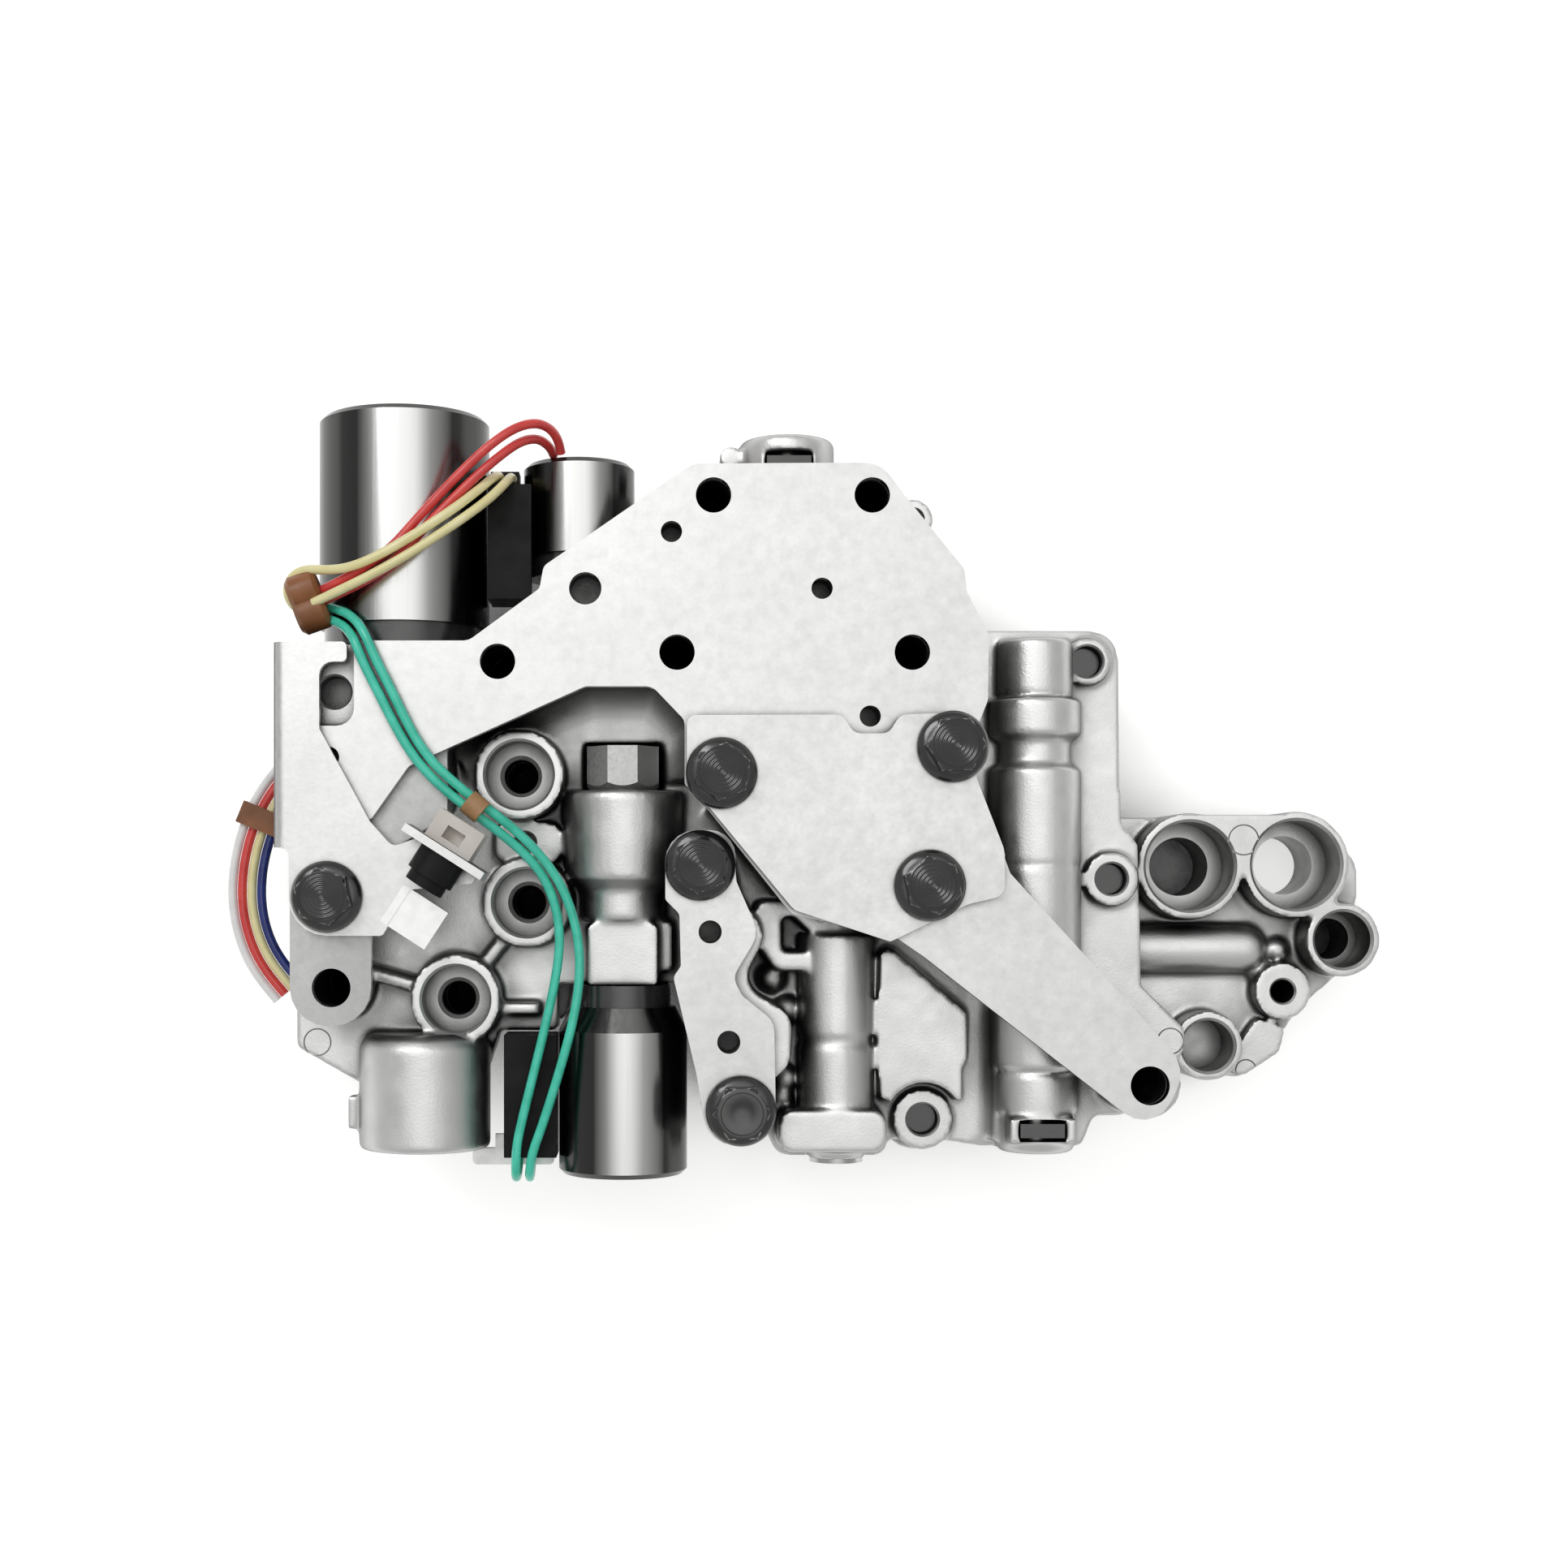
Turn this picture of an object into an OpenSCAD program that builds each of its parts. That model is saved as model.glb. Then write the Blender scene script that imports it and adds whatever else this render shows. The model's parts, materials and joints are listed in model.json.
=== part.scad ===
// Automatic transmission valve body: two die-cast halves, plates, solenoids, spool valves and wiring.
// Origin on the back face, +X along the long side, +Z out of the plates.

/* [Castings] */
// Height of the lower casting
lower_h = 22; // [18:0.5:28]
// Thickness of the separator plate between the castings
separator_t = 1.2; // [0.8:0.1:2]
// Thickness of the upper casting's flange
flange_t = 7.8; // [6:0.2:10]
// Height of the raised block above the flange
block_h = 15.5; // [13:0.5:20]
// Height of the valve axes above the flange's top face
valve_axis_h = 2; // [1:0.25:3]
// Height of the right-hand socket block's floor
socket_floor_h = 14; // [10:0.5:16]
// Depth of the oil tracks in the back face
track_depth = 9; // [5:0.5:12]
// Width of the oil tracks
track_w = 5; // [3:0.25:6]
// Height of the screw bosses above the flange
boss_rise = 2; // [1:0.25:4]
// Height of the counterbored bosses above the flange
cup_rise = 9; // [6:0.5:12]
// Depth of the counterbores
cup_depth = 7; // [4:0.5:9]
// Diameter of the counterbores
cup_d = 13.6; // [12.5:0.1:15]
// Wall around the counterbores
cup_wall = 2.3; // [1.5:0.1:3]
// Wall of the bosses around the eye holes
eye_wall = 3; // [2:0.1:4]
// Bore of the drain boss beside the sockets
drain_d = 5; // [4:0.5:6]
// Wall of the drain boss
drain_wall = 3.5; // [2:0.5:4]
// Height of the drain boss above the socket floor
drain_rise = 5; // [3:0.5:8]
// Height of the flat pad beside the middle tube
pad_rise = 5; // [3:0.5:8]
// Radius of the casting's concave fillets under the main plate's edge
bank_r = 8; // [5:0.5:9]
// Radius of the smaller fillets beside the tubes and the cover plate
root_r = 4; // [2:0.5:5]

/* [Plates] */
// Thickness of the main plate
main_t = 2.5; // [1.5:0.1:4]
// Thickness of the cover plate
cover_t = 2.5; // [1.5:0.1:4]
// Thickness of the anchor plate under the bracket
anchor_t = 2; // [1:0.1:3]
// Thickness of the narrow retainer plate
retainer_t = 2; // [1:0.1:3]
// Thickness of the bracket's folded sheet
sheet_t = 1.6; // [1:0.1:2.5]
// Outer radius of the bracket's bends
bend_r = 2.4; // [1.8:0.1:3]
// Depth of the bracket's folded-down edge
fold_h = 14; // [8:0.5:18]
// Height of the bracket's upright tab
tab_h = 10.5; // [10:0.5:16]
// Diameter of the case bolt holes
case_hole_d = 7; // [5.5:0.1:8]
// Diameter of the eye holes at the arm and the left tab
eye_hole_d = 7.7; // [6:0.1:9]
// Diameter of the small locating holes
pin_hole_d = 4.2; // [3:0.1:5]
// Diameter of the two blind holes
blind_hole_d = 6.4; // [5:0.1:7]
// Depth of the blind holes below the main plate
blind_depth = 5; // [2:0.5:6]

/* [Fasteners] */
// Thread diameter of the flange bolts
bolt_d = 6; // [5:0.5:7]
// Radial clearance of the bolts in their holes
bolt_clear = 0.2; // [0.1:0.05:0.4]
// Diameter of the bolt's flange
bolt_flange_d = 14; // [12:0.1:15]
// Thickness of the bolt's flange
bolt_flange_t = 1.8; // [1:0.1:3]
// Size of the bolt's hexagon across flats
bolt_hex = 10; // [8:0.5:11]
// Height of the bolt's head with its flange
bolt_head_h = 6.5; // [5:0.5:8]
// Reach of the bolts below the plates
bolt_reach = 12; // [8:0.5:14]
// Diameter of the body screws
screw_d = 6; // [5:0.5:6.5]
// Diameter of the body screws' heads
screw_head_d = 10; // [9:0.5:12]
// Height of the body screws' heads
screw_head_h = 6; // [4:0.5:7]
// Depth of the screw tips below their bosses
tip_depth = 3; // [1:0.5:5]
// Size of the key hole in the body screws' heads
screw_key = 5; // [4:0.5:6]

/* [Pipe sockets] */
// Distance of the outermost socket from the part's middle
socket_reach = 119.4; // [117:0.2:124]
// Bore diameter of the two large sockets
large_socket_d = 18.6; // [16:0.2:20]
// Bore diameter of the small outer socket
small_socket_d = 11.8; // [9:0.2:13]
// Bore diameter of the socket under the arm
arm_socket_d = 10.8; // [9:0.2:12]
// Wall of the sockets
socket_wall = 1.9; // [1.5:0.1:3]
// Depth of the large sockets
socket_depth = 10; // [6:0.5:14]
// Step in from the socket bore to the oil passage
socket_step = 3; // [2:0.1:4]

/* [Valves] */
// Bore diameter of the regulator and switch valves
valve_bore_d = 11; // [9:0.2:12]
// Bore diameter of the shift valve
shift_bore_d = 13; // [11:0.2:14]
// Bore diameter of the accumulator
accumulator_bore_d = 21.6; // [18:0.2:23]
// Radial running clearance of spools, pistons and plungers
spool_clear = 0.05; // [0.03:0.01:0.1]
// End clearance of a spool against its stop
stop_gap = 0.3; // [0.1:0.1:0.6]
// Travel of the regulator valve
regulator_travel = 6; // [3:0.5:8]
// Travel of the switch valve
switch_travel = 5; // [3:0.5:6]
// Travel of the shift valve
shift_travel = 4; // [2:0.5:5]
// Travel of the accumulator piston
accumulator_travel = 4; // [2:0.5:5]
// Wall of the accumulator's tube
accumulator_wall = 2.6; // [2:0.1:3]
// Wire diameter of the valve springs
spring_wire = 1.2; // [0.8:0.1:1.5]
// Wire diameter of the accumulator's spring
accumulator_wire = 1.8; // [1.4:0.1:2]
// Gap left between a spring's coils at the end of its travel
coil_gap = 1; // [0.6:0.1:1.2]
// Radial clearance of the springs in their bores
spring_clear = 0.6; // [0.3:0.1:1]
// Width of the clip slots across the valve axis
clip_w = 9.4; // [8:0.2:10]
// Length of the clip slots along the valve axis
clip_slot = 4.4; // [3:0.2:5]
// Clearance of a clip in its slot and groove
clip_clear = 0.25; // [0.1:0.05:0.4]

/* [Solenoids] */
// Diameter of the main solenoid's can
main_can_d = 34.8; // [30:0.2:35]
// Length of the main solenoid's can
main_can_l = 43; // [36:0.5:46]
// Diameter of the small solenoid's can
small_can_d = 22.8; // [20:0.2:23]
// Length of the small solenoid's can
small_can_l = 19; // [15:0.5:22]
// Diameter of the lower solenoid's can
lower_can_d = 26.2; // [24:0.2:27]
// Length of the lower solenoid's can
lower_can_l = 34; // [28:0.5:38]
// Taper of the lower can's shoulder
can_shoulder = 2.4; // [1:0.1:3]
// Wall of the cans
can_wall = 1.5; // [1:0.1:2]
// Diameter of the solenoid plungers
plunger_d = 6; // [5:0.2:7]
// Travel of the solenoid plungers
plunger_travel = 2.5; // [1.5:0.5:3]
// Wire diameter of the plunger springs
plunger_wire = 0.8; // [0.6:0.1:1]
// Diameter of the solenoid spigots in the casting
spigot_d = 9; // [8:0.2:10]
// Length of the solenoid spigots
spigot_l = 12; // [8:0.5:14]
// Distance of the upper solenoids' axes below the flange's top face
solenoid_drop = 1; // [0:0.25:2]
// Radius of the adjuster plug's shank
adjuster_r = 5; // [4:0.1:5.5]
// Size of the adjuster plug's head across its flats
adjuster_flats = 14.6; // [13:0.2:15]
// Length of the adjuster plug's head
adjuster_head_l = 9; // [7:0.5:10]
// Diameter of the sensor plug in the bracket's tab
sensor_d = 8; // [6.5:0.1:8.5]

/* [Wiring] */
// Diameter of the insulated wires
wire_d = 1.9; // [1.5:0.1:2.2]

/* [Hidden] */

$fn = 48;
eps = 0.01;
arc_step = 22;
wire_sides = 8;
spring_sides = 6;
spring_steps = 10;

// Levels from the back face upwards
z_flange_under = lower_h + separator_t;
z_flange = z_flange_under + flange_t;
z_block = z_flange + block_h;
z_main = z_block + main_t;
z_cover = z_main + cover_t;
z_anchor = z_block - anchor_t;
z_retainer = z_block - retainer_t;
z_axis = z_flange + valve_axis_h;
z_solenoid = z_flange - solenoid_drop;
z_boss = z_flange + boss_rise;
z_cup = z_flange + cup_rise;

// Valve and solenoid axes
regulator_x = 52.4;
switch_x = 11.6;
shift_x = 1.5;
accumulator_x = -72.6;
lockup_x = -32;
main_x = -77.1;
small_x = -41.1;
main_face_y = 28.3;
small_face_y = 43;
lower_face_y = -40.2;
side_gap = 0.4;
main_side_x = main_x + main_can_d / 2 + side_gap;
lower_left_x = lockup_x - lower_can_d / 2 - side_gap;
lower_right_x = lockup_x + lower_can_d / 2 + side_gap;

// Outlines seen from above, each corner as x, y and its radius
main_outline = [
    [-84.8, 28.3, 1], [-62.2, 28.3, 3], [-48.2, 38.6, 1.5], [-47.4, 43, 2], [-18, 63.2, 5], [19, 63.4, 6],
    [24.4, 56.2, 2], [35.6, 42.4, 3], [36, 38, 2], [40.4, 29.5, 4], [40.2, 16.5, 2], [38, 11, 2],
    [38.2, 0.2, 1], [44.6, -17.6, 1], [79.5, -55.9, 7], [73, -69.5, 7], [27.8, -34.2, 4], [22, -30.2, 2],
    [1.5, -25.6, 2], [-15.5, -4.4, 1], [-19.6, 0, 1], [-19.6, 12.6, 2], [-26, 19.3, 3], [-39.2, 19.3, 2],
    [-74, 3.6, 2.5], [-81.8, -7.4, 1], [-88, -3, 2], [-94.5, 5, 2], [-94, 11.5, 1], [-84.8, 11.5, 3.5]
];
cover_outline = [
    [-19.2, 13.4, 1.8], [11.2, 13.5, 2.5], [13.6, 9.8, 2.4], [20.4, 9.8, 2.4], [22.6, 13.5, 2.5],
    [35, 13.9, 4], [37.7, 0.7, 2], [43.1, -13.2, 4], [43.1, -22, 2.5], [35.9, -23.7, 4], [20.7, -31, 1],
    [1.8, -24.8, 3], [-14.9, -4.6, 2], [-19.2, -0.6, 3]
];
retainer_outline = [
    [-23.4, -9, 6.2], [-9.6, -9, 6.2], [-9.4, -19, 2], [-4.8, -29.5, 5], [-10, -38.2, 3], [-8.2, -41.8, 3],
    [-1.8, -47, 4], [-1.6, -58, 1], [-1.4, -71.5, 6.2], [-15, -71.5, 6.2], [-17.2, -57.5, 1],
    [-21.8, -38.2, 1.5], [-20.3, -36, 1], [-20.6, -25.6, 1.5], [-23.4, -22.8, 1]
];
anchor_outline = [
    [-97.9, 11, 1], [-66.7, 11, 1], [-66.7, -6.1, 1], [-78, -13, 2], [-81.8, -22, 2], [-81.8, -47.9, 7.6],
    [-97.9, -47.9, 7.6]
];
flange_outline = [
    [-97, main_face_y, 2], [main_side_x, main_face_y, 2], [-53, 34.5, 1.5], [-45.6, 36.4, 1],
    [-45.6, small_face_y, 1], [-29, small_face_y, 1], [-29, 53.5, 2], [-17, 62.4, 3], [18.6, 62.4, 4],
    [34.5, 41.8, 3], [39.4, 32.6, 2], [70, 32.6, 6],
    [70.6, -7, 2], [74.2, -11.5, 2], [74.9, -40.8, 2], [83.9, -49.4, 2], [83.5, -54.5, 2], [71, -67.4, 3],
    [65, -67.4, 1.5], [62.5, -73.6, 1.5], [41.6, -73.6, 1], [34, -72.4, 1], [22.5, -72.4, 1],
    [21.6, -75.5, 3], [-0.2, -75.5, 3], [-2.5, -70.6, 1], [-15.4, -71.2, 5.5], [-16.6, -57, 1],
    [lower_right_x, lower_face_y, 1], [lower_left_x, lower_face_y, 1], [lower_left_x, -49.8, 1],
    [-57.4, -49.8, 1], [-60, -58, 1], [-85.6, -61, 1],
    [-99.4, -53.2, 2], [-99.4, -44.8, 2], [-97.4, -40, 2]
];
block_outline = [
    [-96, main_face_y, 2], [main_side_x, main_face_y, 2], [-54.5, 32, 1.5], [-45.6, 36.4, 1],
    [-45.6, small_face_y, 1], [-29, small_face_y, 1],
    [-29, 53.5, 2], [-17.2, 62.4, 3], [18.4, 62.4, 4], [23, 55.5, 2], [33.8, 41.8, 2], [34.4, 37.4, 2],
    [38.4, 29.5, 3], [38, 16, 2], [36, 11, 2], [36.4, 0.4, 1], [41.6, -17.2, 2], [30, -26.5, 2],
    [20.5, -29, 1], [2.4, -23.2, 2], [-13.6, -3.6, 1], [-17.4, 1.2, 1], [-17.4, 12.4, 2], [-25.2, 20.2, 2],
    [-39, 20.2, 2], [-66.6, 7.8, 2], [-66.6, -5, 2], [-81, -10, 2], [-82, -29, 2], [-96, -29, 2]
];
retainer_land = [
    [-22, -10, 5], [-10.4, -10, 5], [-8.2, -22.5, 3], [-3, -29.5, 5], [-7.4, -38, 4], [-5.6, -41.4, 4],
    [2.2, -46, 5], [1.4, -56, 4], [-2.6, -59.5, 2], [-2.6, -70.4, 5], [-14.4, -70.4, 5], [-16, -57, 1],
    [lower_right_x, -40, 1], [-19.6, -26, 1.5], [-22, -22, 1]
];
pad_outline = [
    [20.4, -33, 1.5], [23, -33, 2], [38.4, -46, 3], [38.4, -55, 2], [37, -58, 2], [37.4, -64, 1],
    [20.2, -64, 2], [19.6, -50, 1]
];
lower_outline = [
    [-94, 26, 3], [-62, 26, 2], [-52, 32.5, 2], [-44, 34.5, 2], [-43, 40.5, 1.5], [-31, 40.5, 1.5],
    [-31, 52, 2], [-18, 62, 3], [18.6, 62.4, 4], [34.3, 41.6, 3], [38.6, 30, 2], [67, 30, 5], [68, -5.4, 1],
    [72, -11, 2], [73, -40, 1], [80, -49, 2], [79.5, -55, 2], [69, -66, 3], [40, -71, 2], [23, -70, 2],
    [1, -72, 3], [-13, -69, 4], [-18.5, -41, 2], [-42, -38, 2], [-44, -48, 2], [-58, -49.4, 2],
    [-86, -49.4, 2], [-96, -47, 2]
];
socket_outline = [
    [66, -5.3, 0], [112, -5.3, 3], [socket_reach + 2.1, -11, 4], [socket_reach + 5.6, -15, 3],
    [socket_reach + 5.6, -23, 3], [socket_reach + 3.6, -37, 4],
    [112, -47, 4], [108.4, -52.4, 2], [107.4, -55.8, 2], [99.6, -61, 2], [91, -60, 4], [82, -56, 2],
    [66, -56, 0]
];

// Places of holes, bosses and sockets
case_holes = [[-13.9, 57], [17.4, 57], [-21.1, 26], [25.3, 26], [-56.5, 24.2]];
pin_holes = [[-22.2, 49.8], [7.5, 38.6], [17, 13.4]];
blind_hole = [-39.2, 38.6];
bracket_hole = [-89, 18.4];
lobe_hole = [-89.8, 5.3];
arm_eye = [72.2, -59.5];
left_eye = [-89.7, -40.3];
cup_holes = [[-52.9, 2.4], [-51.3, -23.4], [-65.7, -43]];
screw_places = [[63.2, 26], [68.2, -18.6], [29.4, -67.9]];
cover_bolt_places = [[-12.4, 2], [32.9, 7.2], [28.4, -20]];
retainer_bolt_places = [[-16.5, -16], [-8.4, -64.7]];
bracket_bolt_place = [-89.9, -22.2];
retainer_pins = [[-14.5, -29.2], [-10.8, -51.1]];
large_sockets = [[87.2, -15.8], [109.6, -15.5]];
small_socket = [socket_reach, -31.3];
drain_boss = [107.6, -42.3];
arm_socket = [91, -53.7];

// Walls of the block with a concave fillet at their foot, each from and to with the block on its left
bank_walls = [
    [[-66.6, 7.8], [-39, 20.2]], [[-39, 20.2], [-25.2, 20.2]], [[-25.2, 20.2], [-17.4, 12.4]],
    [[-17.4, 12.4], [-17.4, 1.2]]
];
root_walls = [
    [[-13.6, -3.6], [2.4, -23.2]], [[2.4, -23.2], [20.5, -29]], [[43.6, -18], [43.6, -72]]
];
fillet_lift = 0.15;

// Smaller forms of the upper casting, with their heights above the valve axes
switch_block = [[-0.6, -73.8, 3], [21.2, -73.8, 3], [21.2, -65.2, 3], [-0.6, -65.2, 3]];
switch_block_rise = 8.2;
lockup_block = [[-39.2, lower_face_y, 1], [-24.8, lower_face_y, 1], [-24.8, -27.2, 2], [-39.2, -27.2, 2]];
lockup_block_rise = 7;
side_lug = [[-25, -37.4, 0], [-21.8, -37.4, 1], [-21.8, -27.2, 1], [-25, -27.2, 0]];
side_lug_rise = 4;
rest_land = [[-58.4, -15.4, 3], [-44.4, -15.4, 3], [-44.4, -7, 3], [-58.4, -7, 3]];
rest_rise = 1.5;
rest_hole = [-52, -11.2];
switch_land = [[-5, -23, 2], [2, -23, 2], [12, -28, 3], [12, -37, 3], [-1, -37.4, 3], [-5.6, -31, 3]];
switch_land_rise = 5.4;
land_pocket = [[0.2, -26.3, 1], [2.6, -26.2, 1.2], [7.8, -31.2, 1.2], [7.4, -33.4, 1], [0.2, -33.4, 1]];
land_pocket_z = z_flange + 1;
cup_ribs = [[[-84, -37.6], [-70, -41.6]], [[-61, -37], [-55.6, -30]], [[-58, -45], [-49, -45]]];
cup_rib_w = 2.6;
cup_rib_rise = 3.4;
lumps = [[-1.6, -39, 3], [1.6, -45.6, 3.2], [1.4, -59.6, 3], [0.6, -63.4, 2.8]];
accumulator_lug = [-88, -69.6];
accumulator_lug_size = [5, 6.6, 5];

// Smaller forms of the socket block
oil_ridge = [[100, -33.6], [107.6, -42.3]];
oil_ridge_r = 3;
socket_bump = [107.4, -33.7];
socket_bump_r = 2.8;
socket_lug = [[102.6, -48, 2], [109, -50, 2], [107.6, -55.4, 2], [99.6, -60.6, 2], [95.4, -58.6, 1]];
socket_lug_rise = 3;
bridge_in = 1.8;
bridge_w = 9;

// Valve stacks along Y; lands are lengths with their share of the bore's radius
regulator_north = 24;
regulator_south = -74.3;
regulator_lands = [[8, 1], [6, 0.6], [11, 1], [8, 0.6], [12, 1], [6, 0.6], [7, 1]];
regulator_turns = 7;
switch_north = -6;
switch_south = -75.5;
switch_lands = [[7, 1], [6, 0.6], [9, 1], [6, 0.6], [9, 1]];
switch_turns = 6;
shift_south = 16;
shift_north = 70.8;
shift_lands = [[7, 1], [5, 0.6], [9, 1], [4, 0.6], [6, 1]];
shift_turns = 3;
accumulator_south = -73.6;
accumulator_turns = 3;
piston_floor = 3;
piston_skirt = 5;
piston_wall = 2.4;
cap_l = 3;
plug_inset = 0.4;
switch_plug_proud = 0.8;
shift_plug_proud = 0.4;
clip_in = 5;
shift_clip_in = 5.8;
clip_t = 2.8;
clip_low = 3;
clip_rise = 8.4;
groove_r = 3;
window_size = [13.4, 5.2, 11];
regulator_rings = [
    [regulator_south, 7], [regulator_south + 1, 8], [-66.4, 8], [-66, 8.8], [-58.4, 8.8], [-58, 8.2],
    [-57.2, 8.2], [-56.8, 9.3], [-16.6, 9.3], [-16.2, 9], [-15.4, 9], [-15, 9.3], [3.5, 9.3], [5, 7.3],
    [9.4, 7.3], [10.7, 9.4], [17.8, 9.4], [18.2, 7.2], [18.8, 7.2], [19.2, 7.65], [29.5, 7.65], [30.3, 6.8]
];
switch_rings = [[-68, 7.65], [-53, 7.65], [-52.4, 7.2], [-50.8, 7.2], [-50.2, 7.65], [-30, 7.65]];
shift_rings = [[58, 9.7], [shift_north - 1, 9.7], [shift_north, 8.9]];
lockup_rings = [[-27, 8.2], [-26.4, 8.5], [-21, 8.5], [-18.4, 11.6], [-2, 12.4], [-0.8, 11.8]];
lockup_floor = 1;

valve_bore_r = valve_bore_d / 2;
shift_bore_r = shift_bore_d / 2;
accumulator_bore_r = accumulator_bore_d / 2;
valve_r = valve_bore_r - spool_clear;
shift_r = shift_bore_r - spool_clear;
accumulator_r = accumulator_bore_r - spool_clear;
regulator_l = regulator_north - regulator_south;
switch_l = switch_north - switch_south;
shift_l = shift_north - shift_south;
regulator_spring_l = spring_length(regulator_turns, spring_wire, regulator_travel, coil_gap);
switch_spring_l = spring_length(switch_turns, spring_wire, switch_travel, coil_gap);
shift_spring_l = spring_length(shift_turns, spring_wire, shift_travel, coil_gap);
accumulator_spring_l = spring_length(accumulator_turns, accumulator_wire, accumulator_travel, coil_gap);
accumulator_l = piston_floor + accumulator_spring_l + cap_l;
accumulator_north = accumulator_south + accumulator_l;
accumulator_tube_r = accumulator_bore_r + accumulator_wall;
regulator_spool_end = stop_gap + land_length(regulator_lands, len(regulator_lands));
switch_spool_end = stop_gap + land_length(switch_lands, len(switch_lands));
shift_spool_end = stop_gap + land_length(shift_lands, len(shift_lands));

// Solenoid insides, with the casting's face at 0
base_l = 4.4;
can_end_t = 2;
can_edge = 1;
sleeve_wall = 1.2;
core_gap = 0.4;
plunger_turns = 6;
plunger_coil_gap = 0.4;
plunger_stop = 3;
nose_way_r = 1.5;
base_step = 1;
plunger_r = plunger_d / 2;
plunger_spring_l = spring_length(plunger_turns, plunger_wire, plunger_travel, plunger_coil_gap);
plunger_from = plunger_stop + stop_gap - spigot_l;

// Holes and bosses
bolt_hole_d = bolt_d + 2 * bolt_clear;
bolt_tip_gap = 2;
screw_hole_d = screw_d + 2 * bolt_clear;
screw_boss_walls = [1.7, 2.4, 3];
screw_head_wall = 2;
eye_boss_d = eye_hole_d + 2 * eye_wall;
retainer_pin_clear = 0.4;
pad_gap = 3;
corner_boss = [27, 54.6];
corner_boss_d = 8.4;
corner_boss_rise = 5;
post = [-10, 67];
post_d = 4.6;
post_rise = 6;
post_web = [6, 8, 11.8];
anchor_recess = [-66.6, 11.4];
oil_way = [76, -33.4];
oil_way_l = 24;
oil_way_r = 5.4;
adjuster_y = -0.7;
adjuster_chamfer = 1.6;
adjuster_shank_l = 9;
adjuster_pocket = 1.2;
lockup_way_r = 2;

// Oil tracks in the back face
track_paths = [
    [[-86, 16], [-68, 16], [-62, 10], [-38, 10]],
    [[-84, 4], [-72, 4], [-64, -6], [-64, -22]],
    [[-84, -8], [-76, -14], [-76, -30]],
    [[-38, 0], [-24, 0], [-24, -16], [-10, -16], [-10, -50]],
    [[-40, -10], [-40, -32], [-30, -32]],
    [[-12, 46], [10, 46], [18, 36], [8, 20], [-6, 20]],
    [[8, -14], [24, -14], [24, -30], [8, -38]],
    [[36, 14], [52, 14], [58, 4], [58, -30]],
    [[44, -10], [44, -42], [58, -46]],
    [[8, -52], [28, -52], [38, -62], [56, -62]]
];

// Bracket seen from above, before its bends
fold_from = [-100.7, -12.5];
fold_l = 40.4;
bracket_left = fold_from[0] + bend_r;
bracket_outline = [
    [bracket_left, fold_from[1] + fold_l, 0], [-86, fold_from[1] + fold_l, 1], [-86, 24, 1], [-91.4, 24, 3],
    [-91.4, 10.8, 1], [-81.5, -7.4, 1], [-77, -12.4, 2], [-72, -10.6, 1], [-60.2, -17.7, 0.5],
    [-61.3, -19.6, 0.5], [-73.2, -20.8, 0.5], [-77.9, -28, 0.5], [-79, -29.9, 1], [-97.4, -29.9, 7.5],
    [-97.4, -14, 1], [bracket_left, fold_from[1], 0]
];
foot_outline = [[-96.4, -14, 1], [-82.6, -14, 1], [-82.6, -28.9, 1], [-96.4, -28.9, 6.4]];
tab_from = [-74, -9.4];
tab_to = [-58.9, -19];
tab_turn = angle_of(tab_to - tab_from);
tab_l = norm(tab_to - tab_from);
tongue_from = [-77.9, -28];
tongue_to = [-73.2, -20.8];
tongue_l = 8.8;
tongue_in = 0.4;
tongue_drop = 3;
sensor_rise = 6.6;
sensor_clear = 0.3;
sensor_collar = 0.8;
sensor_collar_l = 5;
sensor_l = 9;
sensor_gap = 0.1;
sensor_clip_size = [10, 6, 8];
sensor_clip_drop = 4.4;
sensor_window = [4, 2.6];
sensor_window_z = 5;

// Connectors and strap of the small and lower solenoids
small_connector_y = 60.5;
small_connector_l = 23;
small_heel_l = 4;
small_heel_h = 5;
connector_left = main_x + main_can_d / 2 - small_x;
connector_right = -small_can_d / 2;
connector_top = small_can_d / 2 + 1;
connector_gap = 0.7;
connector_lip = 2.2;
small_connector_section = [
    [connector_left + connector_gap, 0], [connector_right - connector_gap, 0],
    [connector_right - connector_gap, small_can_d * 0.3],
    [connector_right + connector_lip, small_can_d * 0.4], [connector_right + connector_lip, connector_top],
    [connector_left + connector_gap, connector_top]
];
lower_connector_size = [10.6, 24.8, 11];
lower_connector_y = -75;
lower_connector_gap = 0.3;
lower_connector_drop = 5;
strap_outline = [
    [-63.3, -77.8, 1], [-46.4, -77.8, 1], [-46.4, -71.5, 1], [-58.6, -71.5, 0], [-58.6, -74.4, 0],
    [-63.3, -74.4, 1]
];

// Ties around the wires
harness_tie_place = [main_x - main_can_d / 2 + 0.1, 36.4, z_solenoid + main_can_d / 2 - 2.2];
harness_tie_turn = 20;
harness_tie_l = 6.4;
harness_tie_edge = 0.9;
harness_tie_lobes = [[2.3, 0.4, 3.6], [-2, -0.6, 4]];
side_tie_size = [4.6, 8.8, 4.4];
tape_place = [-60.9, -4.5, 49.4];
tape_turn = -40;
tape_r = 2.5;
tape_l = 3.8;

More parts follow.
